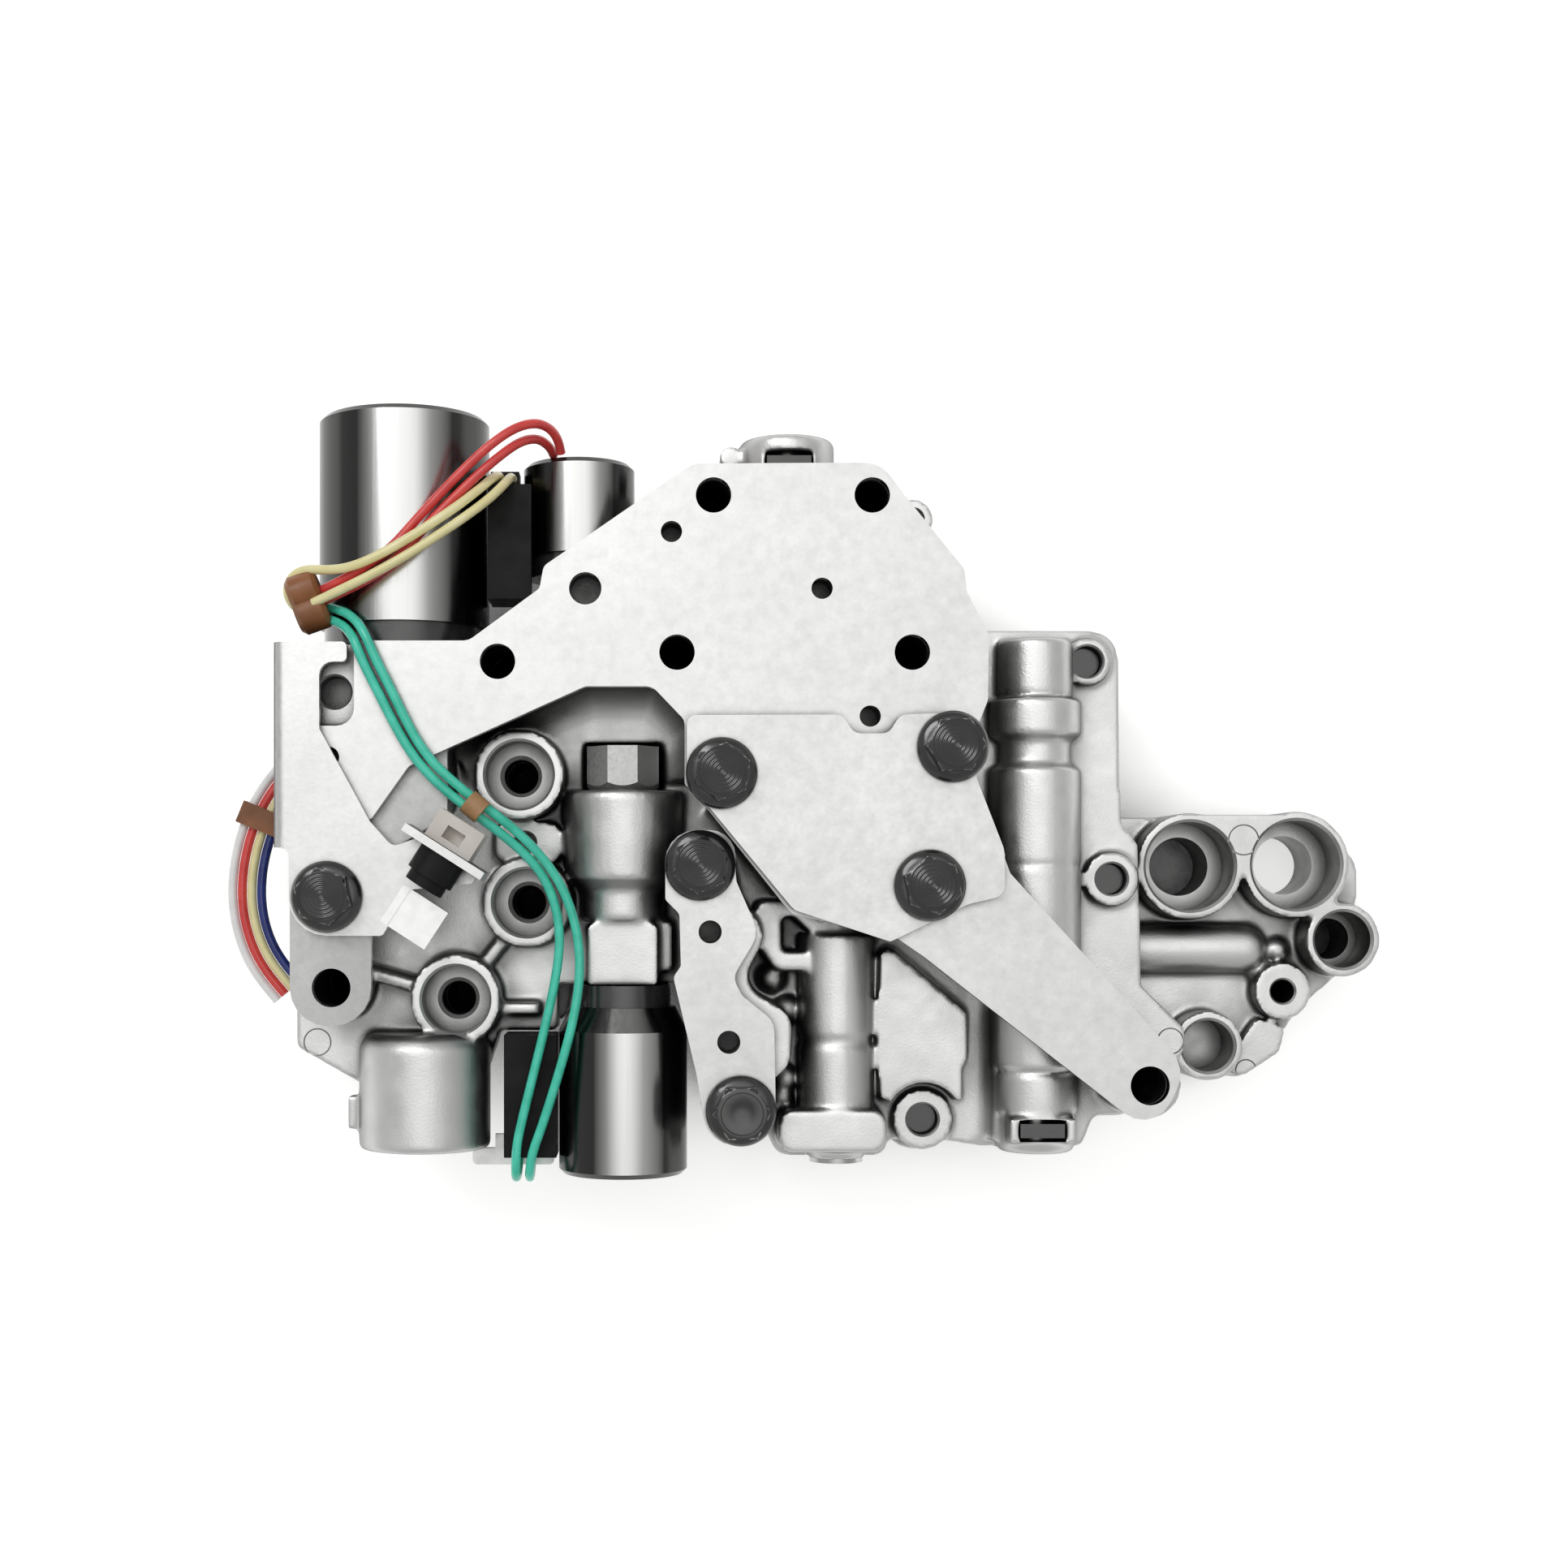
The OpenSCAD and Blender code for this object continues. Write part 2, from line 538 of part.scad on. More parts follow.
// Wire routes, from the harness tie outwards
red_upper = [
    [-93.9, 37.7, 45.2], [-86.4, 41, 47.5], [-80.6, 44.4, 48.6], [-76.8, 47.4, 48.7], [-72.4, 52.4, 48.8],
    [-63.2, 62, 49.5], [-56.6, 67.8, 49.6], [-52, 70.8, 48.4], [-48, 71.8, 46], [-45.2, 70.2, 42.6],
    [-44.4, 67.3, 39.8]
];
red_lower = [
    [-93.1, 35.9, 45.6], [-85.4, 38.9, 47.5], [-79.4, 42.2, 48.6], [-75, 45.6, 48.7], [-70.8, 50.8, 48.8],
    [-61.6, 59.8, 49.3], [-55.8, 65, 48.6], [-52.2, 68, 46.6], [-49, 69.4, 43.4], [-46.8, 68.6, 39.8],
    [-46, 67.4, 37.2]
];
yellow_upper = [
    [-93.4, 34.6, 42], [-95.6, 34.8, 42.8], [-97.8, 36, 43.8], [-98.8, 38.6, 44.8], [-97.7, 41.3, 45.7],
    [-95, 42.6, 46.7], [-91.6, 42.4, 47.9], [-86, 42.4, 49.8], [-79.7, 44.8, 50.9], [-73.4, 48.4, 51],
    [-65, 54, 50.4], [-60.2, 58.2, 48.6], [-57.6, 61.2, 45.4], [-56.9, 62.5, 40.6], [-56.9, 62.6, 35.4]
];
yellow_lower = [
    [-93.1, 35.9, 47.8], [-85, 39.2, 50.1], [-78.5, 42.4, 50.9], [-71.9, 46.2, 50.9], [-63, 52.4, 49.8],
    [-57.8, 56.8, 48], [-55.2, 60.2, 45.2], [-54.4, 62.2, 40.8], [-54.4, 62.6, 35.4]
];
green_left = [
    [-90.6, 33.2, 44], [-87, 31.4, 47.2], [-84.5, 28.2, 50.3], [-82.9, 24, 50.4], [-79.8, 18, 50.4],
    [-75.8, 10, 50.3], [-70.4, 2, 50.3], [-61.6, -5.4, 49.4], [-54.8, -10.6, 46.6], [-48.2, -17, 43.8],
    [-44.8, -26, 42.6], [-44.8, -36, 42], [-48.4, -52, 41.5], [-52.4, -68, 41.5], [-53.2, -72.4, 41.5],
    [-53.4, -75.4, 41.5], [-53.5, -78.1, 40.4], [-53.5, -79.2, 37.6], [-53.4, -78.1, 34.8],
    [-53.3, -75.6, 33.7]
];
green_right = [
    [-91.4, 35.8, 43], [-86.6, 34.2, 46.4], [-83, 30.6, 50], [-80.7, 25.2, 50.4], [-77.4, 18.8, 50.4],
    [-73.6, 10.8, 50.3], [-68.8, 3.6, 50.3], [-60.2, -3.6, 49.4], [-53, -9, 46.6], [-45.2, -17.6, 44],
    [-41.2, -28, 43], [-40.4, -38, 43.2], [-42.4, -50, 44.2], [-47.8, -67.4, 42.2], [-49.6, -72.2, 41.6],
    [-50.4, -75.4, 41.5], [-50.7, -78.1, 40.4], [-50.8, -79.2, 37.6], [-50.8, -78.1, 34.8],
    [-50.7, -75.6, 33.7]
];
side_route = [
    [-99.2, 3.4, 33.6], [-102.8, -0.8, 33.6], [-106, -6.4, 33.6], [-108.6, -15, 33.6], [-109, -25, 33.6],
    [-106, -34.6, 33.6], [-100.4, -41.6, 33.6]
];
side_pitch = 1.98;

// Corner arc between two straight runs
function unit(v) = v / norm(v);
function angle_of(v) = atan2(v[1], v[0]);
function turn(a) = a > 180 ? a - 360 : (a < -180 ? a + 360 : a);
function corner(a, p, b, r) =
    let (
        u = unit(a - p),
        v = unit(b - p),
        half = acos(max(-1, min(1, u * v))) / 2,
        run = min(r / tan(half), 0.49 * norm(a - p), 0.49 * norm(b - p)),
        arc_r = run * tan(half),
        centre = p + unit(u + v) * (arc_r / sin(half)),
        from = angle_of(p + u * run - centre),
        sweep = turn(angle_of(p + v * run - centre) - from),
        count = max(1, ceil(abs(sweep) / arc_step))
    )
    [for (i = [0 : count]) centre + arc_r * [cos(from + sweep * i / count), sin(from + sweep * i / count)]];
function flat(p) = [p[0], p[1]];
function rounded(pts) =
    let (n = len(pts))
    [for (i = [0 : n - 1]) each
        pts[i][2] == 0
            ? [flat(pts[i])]
            : corner(flat(pts[(i + n - 1) % n]), flat(pts[i]), flat(pts[(i + 1) % n]), pts[i][2])];

// Outline of a track that follows a path with a constant width
function side_point(path, i, w) =
    let (
        n = len(path),
        before = i == 0 ? path[1] - path[0] : path[i] - path[i - 1],
        after = i == n - 1 ? path[i] - path[i - 1] : path[i + 1] - path[i],
        across = unit(unit([-before[1], before[0]]) + unit([-after[1], after[0]])),
        lean = across * unit([-before[1], before[0]])
    )
    path[i] + across * (w / 2 / lean);
function track(path, w) =
    let (
        n = len(path),
        left = [for (i = [0 : n - 1]) each [concat(side_point(path, i, w), w * 0.4)]],
        right = [for (i = [n - 1 : -1 : 0]) each [concat(side_point(path, i, -w), w * 0.4)]]
    )
    rounded(concat(left, right));

module plate(outline, z, t) translate([0, 0, z]) linear_extrude(t) polygon(rounded(outline));
module holes(places, d, z0, z1)
    for (p = places) translate([p[0], p[1], z0]) cylinder(d = d, h = z1 - z0);
module hole(p, d, z0, z1) holes([p], d, z0, z1);

// Bodies turned about an axis along Y; way is 1 for +Y and -1 for -Y
module along_y(x, y, z, way) translate([x, y, z]) rotate([-90 * way, 0, 0]) children();
module turned(profile)
    rotate_extrude()
        polygon(concat([[0, profile[0][0]]], [for (p = profile) [p[1], p[0]]],
            [[0, profile[len(profile) - 1][0]]]));
module rod(r, from, to) translate([0, 0, from]) cylinder(r = r, h = to - from);
module tube(r_out, r_in, from, to)
    difference() {
        rod(r_out, from, to);
        rod(r_in, from - eps, to + eps);
    }

// Skin over a row of rings, all with the same number of points
module skin(rings) {
    n = len(rings[0]);
    last = len(rings) - 1;
    faces = concat(
        [[for (j = [0 : n - 1]) j]],
        [[for (j = [n - 1 : -1 : 0]) last * n + j]],
        [for (i = [0 : last - 1], j = [0 : n - 1]) each [
            [i * n + j, (i + 1) * n + j, (i + 1) * n + (j + 1) % n],
            [i * n + j, (i + 1) * n + (j + 1) % n, i * n + (j + 1) % n]
        ]]);
    polyhedron(points = [for (r = rings) each r], faces = faces);
}
function ring(c, along, up, r, sides) =
    let (e1 = unit(cross(up, along)), e2 = unit(cross(along, e1)))
    [for (j = [0 : sides - 1]) c + r * (cos(360 * j / sides) * e1 + sin(360 * j / sides) * e2)];
module wire(route)
    skin([for (i = [0 : len(route) - 1])
        ring(route[i], unit(route[min(i + 1, len(route) - 1)] - route[max(i - 1, 0)]), [0, 0, 1], wire_d / 2,
            wire_sides)]);

// Coil spring from 0 to l along its axis
module coil_spring(r, d, l, turns) {
    n = turns * spring_steps;
    rise = (l - d) / n;
    skin([for (i = [0 : n])
        let (a = 360 * i / spring_steps)
        ring([r * cos(a), r * sin(a), d / 2 + rise * i],
            unit([-r * sin(a) * 2 * PI / spring_steps, r * cos(a) * 2 * PI / spring_steps, rise]),
            [cos(a), sin(a), 0], d / 2, spring_sides)]);
}

// Length at rest of a spring that still has a gap between its coils at the end of its travel
function spring_length(turns, d, travel, gap) = (turns + 1) * d + travel + turns * gap;

// Spool with lands of the full radius and waists of a share of it
function land_length(lands, n) = n == 0 ? 0 : lands[n - 1][0] + land_length(lands, n - 1);
module spool(lands, r, from)
    turned([for (i = [0 : len(lands) - 1]) each [
        [from + land_length(lands, i), r * lands[i][1]],
        [from + land_length(lands, i + 1), r * lands[i][1]]
    ]]);

// Flange bolt whose flange rests at z = 0
module flange_bolt(reach) {
    cylinder(d = bolt_flange_d, h = bolt_flange_t);
    cylinder(d = bolt_hex / cos(30), h = bolt_head_h, $fn = 6);
    translate([0, 0, -reach]) cylinder(d = bolt_d, h = reach + eps);
}

// Concave fillet at the foot of a wall that has the casting on its left
module fillet(wall, r) {
    l = norm(wall[1] - wall[0]);
    translate([wall[0][0], wall[0][1], z_flange]) rotate([0, 0, angle_of(wall[1] - wall[0])])
        difference() {
            translate([0, -r, -1]) cube([l, r + 1, r + 1]);
            translate([-1, -r, r + fillet_lift]) rotate([0, 90, 0]) cylinder(r = r, h = l + 2);
        }
}
module fillets() {
    for (wall = bank_walls) fillet(wall, bank_r);
    for (wall = root_walls) fillet(wall, root_r);
}

module valve_tube(x, rings) along_y(x, 0, z_axis, 1) turned(rings);
module accumulator_tube()
    valve_tube(accumulator_x, [
        [accumulator_south, accumulator_tube_r - 0.6],
        [accumulator_south + 0.8, accumulator_tube_r],
        [accumulator_north + 0.6, accumulator_tube_r],
        [accumulator_north + 2.4, accumulator_tube_r - 1],
        [accumulator_north + 3.4, accumulator_tube_r - 2.6]
    ]);
module lockup_tube()
    intersection() {
        valve_tube(lockup_x, lockup_rings);
        translate([lockup_x - lower_can_d, lower_face_y, z_flange_under + lockup_floor])
            cube([2 * lower_can_d, -lower_face_y, lower_can_d]);
    }

module regulator_window()
    translate([regulator_x - window_size[0] / 2, regulator_south + clip_in - window_size[1] / 2, z_flange])
        cube(window_size);
module clip_cut(x, y)
    translate([x - clip_w / 2, y - clip_slot / 2, z_axis - clip_low]) cube([clip_w, clip_slot, z_cover]);

// Blocks, lugs, ribs and lumps around the tubes and cups
module casting_land(outline, top) plate(outline, z_flange_under, top - z_flange_under);
module small_forms() {
    casting_land(switch_block, z_axis + switch_block_rise);
    casting_land(lockup_block, z_axis + lockup_block_rise);
    casting_land(side_lug, z_axis + side_lug_rise);
    casting_land(rest_land, z_axis + rest_rise);
    difference() {
        casting_land(switch_land, z_axis + switch_land_rise);
        plate(land_pocket, land_pocket_z, z_cover);
    }
    for (rib = cup_ribs)
        translate([rib[0][0], rib[0][1], z_flange - 1]) rotate([0, 0, angle_of(rib[1] - rib[0])])
            translate([0, -cup_rib_w / 2, 0])
                cube([norm(rib[1] - rib[0]), cup_rib_w, cup_rib_rise + valve_axis_h + 1]);
    for (p = lumps) translate([p[0], p[1], z_flange]) sphere(p[2]);
    translate([accumulator_lug[0], accumulator_lug[1], z_axis - accumulator_lug_size[2] / 2])
        cube(accumulator_lug_size);
}

module cup_bosses() holes(cup_holes, cup_d + 2 * cup_wall, z_flange_under, z_cup);
module cup_cuts() {
    holes(cup_holes, case_hole_d, -eps, z_cup + 1);
    holes(cup_holes, cup_d, z_cup - cup_depth, z_cover);
}
module screw_bosses()
    for (i = [0 : len(screw_places) - 1])
        hole(screw_places[i], screw_hole_d + 2 * screw_boss_walls[i], z_flange_under, z_boss);

// Holes that run right through both castings and the plate between them
module through_holes(z0, z1) {
    holes(case_holes, case_hole_d, z0, z1);
    holes(cup_holes, case_hole_d, z0, z1);
    holes([arm_eye, left_eye], eye_hole_d, z0, z1);
    holes(screw_places, screw_hole_d, z0, z1);
}

module lower_body()
    color("silver") difference() {
        union() {
            plate(lower_outline, 0, lower_h);
            plate(socket_outline, 0, socket_floor_h);
            holes(large_sockets, large_socket_d + 2 * socket_wall, 0, lower_h);
            hole(small_socket, small_socket_d + 2 * socket_wall, 0, lower_h);
            hole(arm_socket, arm_socket_d + 2 * socket_wall, 0, lower_h);
            hole(drain_boss, drain_d + 2 * drain_wall, 0, socket_floor_h + drain_rise);
            holes(screw_places, screw_head_d + 1 + 2 * screw_head_wall, 0, lower_h);
            hole(arm_eye, eye_boss_d, 0, lower_h);
            socket_bridge();
        }
        holes(large_sockets, large_socket_d, lower_h - socket_depth, lower_h + 1);
        holes(large_sockets, large_socket_d - 2 * socket_step, -1, lower_h);
        hole(small_socket, small_socket_d, lower_h - socket_depth, lower_h + 1);
        hole(small_socket, small_socket_d - socket_step, -1, lower_h);
        hole(arm_socket, arm_socket_d, lower_h - socket_depth, lower_h + 1);
        hole(drain_boss, drain_d, -1, lower_h);
        through_holes(-1, lower_h + 1);
        holes(screw_places, screw_head_d + 1, -1, screw_head_h);
        oil_tracks();
    }
// Web between the large sockets, and the half-round oil way with its branch below them
module socket_bridge() {
    translate([large_sockets[0][0], large_sockets[0][1] + bridge_in, 0])
        cube([large_sockets[1][0] - large_sockets[0][0], bridge_w, lower_h]);
    translate([oil_way[0], oil_way[1], socket_floor_h]) {
        rotate([0, 90, 0]) cylinder(r = oil_way_r, h = oil_way_l);
        translate([oil_way_l, 0, 0]) sphere(oil_way_r);
    }
    translate([oil_ridge[0][0], oil_ridge[0][1], socket_floor_h])
        rotate([0, 90, angle_of(oil_ridge[1] - oil_ridge[0])])
            cylinder(r = oil_ridge_r, h = norm(oil_ridge[1] - oil_ridge[0]));
    translate([socket_bump[0], socket_bump[1], socket_floor_h]) sphere(socket_bump_r);
    plate(socket_lug, 0, socket_floor_h + socket_lug_rise);
}
module oil_tracks()
    for (path = track_paths)
        translate([0, 0, -1]) linear_extrude(track_depth + 1) polygon(track(path, track_w));

module separator_plate()
    color("gray") difference() {
        plate(flange_outline, lower_h, separator_t);
        through_holes(0, z_flange);
        translate([accumulator_x - accumulator_tube_r - side_gap, accumulator_south - 1, 0])
            cube([2 * (accumulator_tube_r + side_gap), accumulator_l + 5, z_axis]);
    }

module upper_body()
    color("gainsboro") difference() {
        union() {
            plate(flange_outline, z_flange_under, flange_t);
            plate(block_outline, z_flange_under, z_anchor - z_flange_under);
            difference() {
                plate(block_outline, z_flange_under, z_block - z_flange_under);
                translate([fold_from[0], left_eye[1] - eye_boss_d, z_anchor])
                    cube([
                        anchor_recess[0] - fold_from[0], anchor_recess[1] - left_eye[1] + eye_boss_d, anchor_t + 1
                    ]);
            }
            plate(retainer_land, z_flange_under, z_retainer - z_flange_under);
            difference() {
                plate(pad_outline, z_flange_under, flange_t + pad_rise);
                hole(screw_places[2], screw_hole_d + 2 * screw_boss_walls[2] + pad_gap, z_flange, z_cover);
            }
            fillets();
            small_forms();
            valve_tube(regulator_x, regulator_rings);
            regulator_window();
            valve_tube(switch_x, switch_rings);
            valve_tube(shift_x, shift_rings);
            accumulator_tube();
            lockup_tube();
            cup_bosses();
            screw_bosses();
            hole(arm_eye, eye_boss_d, z_flange_under, z_block);
            hole(left_eye, eye_boss_d, z_flange_under, z_anchor);
            hole(corner_boss, corner_boss_d, z_flange_under, z_flange + corner_boss_rise);
            hole(post, post_d, z_flange_under + 1, z_flange + post_rise);
            translate([post[0], post[1] - post_web[1] + 1, z_flange_under + 1]) cube(post_web);
        }
        regulator_bore();
        switch_bore();
        shift_bore();
        accumulator_bore();
        lockup_bore();
        solenoid_bore(main_x, main_face_y, z_solenoid, -1);
        solenoid_bore(small_x, small_face_y, z_solenoid, -1);
        through_holes(0, z_cover);
        cup_cuts();
        holes(concat(pin_holes, [lobe_hole]), pin_hole_d, z_block - blind_depth, z_cover);
        holes([blind_hole, bracket_hole], blind_hole_d, z_block - blind_depth, z_cover);
        holes(cover_bolt_places, bolt_hole_d, z_block - bolt_reach, z_cover);
        holes(retainer_bolt_places, bolt_hole_d, z_block - bolt_reach, z_cover);
        hole(bracket_bolt_place, bolt_hole_d, z_block - bolt_reach, z_cover);
        holes(retainer_pins, pin_hole_d, z_retainer - blind_depth, z_cover);
        hole(corner_boss, pin_hole_d, 0, z_cover);
        hole(rest_hole, pin_hole_d, z_flange, z_cover);
    }
module regulator_bore() {
    along_y(regulator_x, regulator_north, z_axis, -1) rod(valve_bore_r, 0, regulator_l + 1);
    clip_cut(regulator_x, regulator_south + clip_in);
}
module switch_bore() along_y(switch_x, switch_north, z_axis, -1) rod(valve_bore_r, 0, switch_l + 1);
module shift_bore() {
    along_y(shift_x, shift_south, z_axis, 1) rod(shift_bore_r, 0, shift_l + 1);
    clip_cut(shift_x, shift_north - shift_clip_in);
}
module accumulator_bore()
    along_y(accumulator_x, accumulator_north, z_axis, -1) rod(accumulator_bore_r, 0, accumulator_l + 1);
module lockup_bore() {
    solenoid_bore(lockup_x, lower_face_y, z_axis, 1);
    along_y(lockup_x, lower_face_y, z_axis, 1) rod(lockup_way_r, 0, adjuster_y - lower_face_y);
    along_y(lockup_x, adjuster_y, z_axis, -1) rod(adjuster_r + bolt_clear, -2, adjuster_shank_l + 1);
    along_y(lockup_x, adjuster_y, z_axis, 1)
        rod(adjuster_flats / 2 + adjuster_pocket, 0, adjuster_head_l + adjuster_pocket);
}
module solenoid_bore(x, y, z, way) along_y(x, y, z, way) rod(spigot_d / 2 + bolt_clear, -1, spigot_l + 1);

module main_plate()
    color("whitesmoke") difference() {
        plate(main_outline, z_block, main_t);
        holes(case_holes, case_hole_d, z_flange, z_cover);
        holes(pin_holes, pin_hole_d, z_flange, z_cover);
        hole(blind_hole, blind_hole_d, z_flange, z_cover);
        hole(lobe_hole, pin_hole_d, z_flange, z_cover);
        hole(arm_eye, eye_hole_d, z_flange, z_cover);
        holes(cover_bolt_places, bolt_hole_d, z_flange, z_cover);
    }

module cover_plate()
    color("lightgray") difference() {
        plate(cover_outline, z_main, cover_t);
        holes(cover_bolt_places, bolt_hole_d, z_flange, z_cover + 1);
    }

module retainer_plate()
    color("lightgray") difference() {
        plate(retainer_outline, z_retainer, retainer_t);
        holes(retainer_bolt_places, bolt_hole_d, z_flange, z_cover);
        holes(retainer_pins, pin_hole_d + retainer_pin_clear, z_flange, z_cover);
    }

module anchor_plate()
    color("darkgray") difference() {
        union() {
            plate(anchor_outline, z_anchor, anchor_t);
            plate(foot_outline, z_anchor, anchor_t + main_t);
        }
        hole(left_eye, eye_hole_d, z_flange, z_cover);
        hole(bracket_bolt_place, bolt_hole_d, z_flange, z_cover);
        hole(lobe_hole, pin_hole_d, z_flange, z_cover);
    }

// Sheet bracket with its folded edge, upright tab and drooping tongue
module harness_bracket()
    color("white") union() {
        difference() {
            plate(bracket_outline, z_main, sheet_t);
            hole(bracket_bolt_place, bolt_hole_d, z_flange, z_cover + 1);
        }
        bracket_fold();
        at_tab() difference() {
            cube([tab_l, sheet_t, tab_h + sheet_t]);
            translate([tab_l / 2, sheet_t + 1, sensor_rise]) rotate([90, 0, 0])
                cylinder(d = sensor_d + 2 * sensor_clear, h = sheet_t + 2);
        }
        translate([tongue_from[0], tongue_from[1], z_main])
            rotate([0, 0, angle_of(tongue_to - tongue_from)])
                translate([0, tongue_in, 0]) rotate([tongue_drop, 0, 0]) translate([0, -tongue_l, 0])
                    cube([norm(tongue_to - tongue_from), tongue_l + sheet_t, sheet_t]);
    }
module bracket_fold()
    translate([fold_from[0], fold_from[1], z_main + sheet_t - fold_h]) {
        cube([sheet_t, fold_l, fold_h - bend_r]);
        intersection() {
            translate([bend_r, 0, fold_h - bend_r]) rotate([-90, 0, 0])
                tube(bend_r, bend_r - sheet_t, 0, fold_l);
            translate([-1, -1, fold_h - bend_r]) cube([bend_r + 1, fold_l + 2, bend_r + 1]);
        }
    }

module cover_bolts()
    color("dimgray") for (p = cover_bolt_places) translate([p[0], p[1], z_cover])
        flange_bolt(cover_t + main_t + bolt_reach - bolt_tip_gap);
module retainer_bolts()
    color("dimgray") for (p = retainer_bolt_places) translate([p[0], p[1], z_block])
        flange_bolt(bolt_reach - bolt_tip_gap);
module bracket_bolt()
    color("dimgray") translate([bracket_bolt_place[0], bracket_bolt_place[1], z_main + sheet_t])
        flange_bolt(bolt_reach - bolt_tip_gap);
module body_screws()
    color("dimgray") for (p = screw_places) translate([p[0], p[1], 0]) difference() {
        union() {
            translate([0, 0, 0.6]) cylinder(d = screw_head_d, h = screw_head_h - 0.6);
            translate([0, 0, screw_head_h - eps]) cylinder(d = screw_d, h = z_boss - tip_depth - screw_head_h);
        }
        cylinder(d = screw_key / cos(30), h = screw_head_h - 2, $fn = 6);
    }

// Solenoid pieces, with the casting's face at 0 and the can's end outwards
module solenoid_can(d, l, shoulder)
    difference() {
        turned([
            [base_l, d / 2 - shoulder], [base_l + 2 * shoulder + eps, d / 2], [base_l + l - can_edge, d / 2],
            [base_l + l, d / 2 - can_edge]
        ]);
        rod(d / 2 - can_wall - shoulder, base_l - 1, base_l + 2 * shoulder);
        rod(d / 2 - can_wall, base_l + 2 * shoulder - eps, base_l + l - can_end_t);
    }
module solenoid_coil(d, l, shoulder)
    tube(d / 2 - can_wall - core_gap, plunger_r + sleeve_wall + core_gap, base_l + core_gap + 2 * shoulder,
        sleeve_end(l));
module solenoid_nose(d, l, shoulder)
    difference() {
        union() {
            rod(d / 2 - shoulder - base_step, 0, base_l);
            rod(spigot_d / 2, -spigot_l, eps);
            rod(plunger_r + sleeve_wall, 0, sleeve_end(l));
        }
        rod(plunger_r + spool_clear, plunger_stop - spigot_l, base_l + l);
        rod(nose_way_r, -spigot_l - 1, base_l);
    }
function sleeve_end(l) = base_l + l - 2 * can_end_t;
function plunger_end(l) = base_l + l - can_end_t - plunger_spring_l;
module solenoid_plunger(l) rod(plunger_r, plunger_from, plunger_end(l));
module solenoid_spring(l)
    translate([0, 0, plunger_end(l)])
        coil_spring(plunger_r - plunger_wire, plunger_wire, plunger_spring_l, plunger_turns);

module at_main() along_y(main_x, main_face_y, z_solenoid, 1) children();
module main_can() color("silver") at_main() solenoid_can(main_can_d, main_can_l, 0);
module main_coil() color("peru") at_main() solenoid_coil(main_can_d, main_can_l, 0);
module main_nose() color("dimgray") at_main() solenoid_nose(main_can_d, main_can_l, 0);
module main_plunger() color("silver") at_main() solenoid_plunger(main_can_l);
module main_plunger_spring() color("gray") at_main() solenoid_spring(main_can_l);

module at_small() along_y(small_x, small_face_y, z_solenoid, 1) children();
module small_can() color("silver") at_small() solenoid_can(small_can_d, small_can_l, 0);
module small_coil() color("peru") at_small() solenoid_coil(small_can_d, small_can_l, 0);
module small_nose() color("dimgray") at_small() solenoid_nose(small_can_d, small_can_l, 0);
module small_plunger() color("silver") at_small() solenoid_plunger(small_can_l);
module small_plunger_spring() color("gray") at_small() solenoid_spring(small_can_l);
module small_connector()
    color("black") translate([small_x, small_connector_y, z_solenoid]) {
        rotate([90, 0, 0]) linear_extrude(small_connector_l) polygon(small_connector_section);
        translate([connector_left + connector_gap, -eps, 0])
            cube([connector_right - connector_left - 2 * connector_gap, small_heel_l, small_heel_h]);
    }

module at_lower() along_y(lockup_x, lower_face_y, z_axis, -1) children();
module lower_can() color("silver") at_lower() solenoid_can(lower_can_d, lower_can_l, can_shoulder);
module lower_coil() color("peru") at_lower() solenoid_coil(lower_can_d, lower_can_l, can_shoulder);
module lower_nose() color("black") at_lower() solenoid_nose(lower_can_d, lower_can_l, can_shoulder);
module lower_plunger() color("silver") at_lower() solenoid_plunger(lower_can_l);
module lower_plunger_spring() color("gray") at_lower() solenoid_spring(lower_can_l);
module lower_connector()
    color("black")
        translate([
            lockup_x - lower_can_d / 2 - lower_connector_gap - lower_connector_size[0],
            lower_connector_y,
            z_axis - lower_connector_drop
        ])
            cube(lower_connector_size);
module lower_strap() color("darkgray") plate(strap_outline, z_axis - lower_connector_drop - sheet_t, sheet_t);

module adjuster_plug()
    color("gray") along_y(lockup_x, adjuster_y, z_axis, 1) {
        intersection() {
            rotate([0, 0, 22.5]) cylinder(d = adjuster_flats / cos(22.5), h = adjuster_head_l, $fn = 8);
            turned([
                [0, adjuster_flats / 2 - adjuster_chamfer / 2],
                [adjuster_chamfer, adjuster_flats / 2 + 0.6],
                [adjuster_head_l, adjuster_flats / 2 + 0.6]
            ]);
        }
        rod(adjuster_r, -adjuster_shank_l, eps);
    }

// Plug with a groove for its clip, and the fork clip that holds it
module grooved_plug(r, from, to, groove_at)
    difference() {
        rod(r, from, to);
        tube(r + 1, groove_r, groove_at - clip_slot / 2, groove_at + clip_slot / 2);
    }
module fork_clip(x, y)
    difference() {
        translate([x - clip_w / 2 + clip_clear, y - clip_t / 2, z_axis - clip_low + clip_clear])
            cube([clip_w - 2 * clip_clear, clip_t, clip_rise + clip_low]);
        translate([x - groove_r - clip_clear, y - clip_t, z_axis - 2 * clip_low])
            cube([2 * (groove_r + clip_clear), 2 * clip_t, 2 * clip_low + groove_r + clip_clear]);
    }
module valve_spring(bore_r, l, turns)
    coil_spring(bore_r - spring_clear - spring_wire / 2, spring_wire, l, turns);

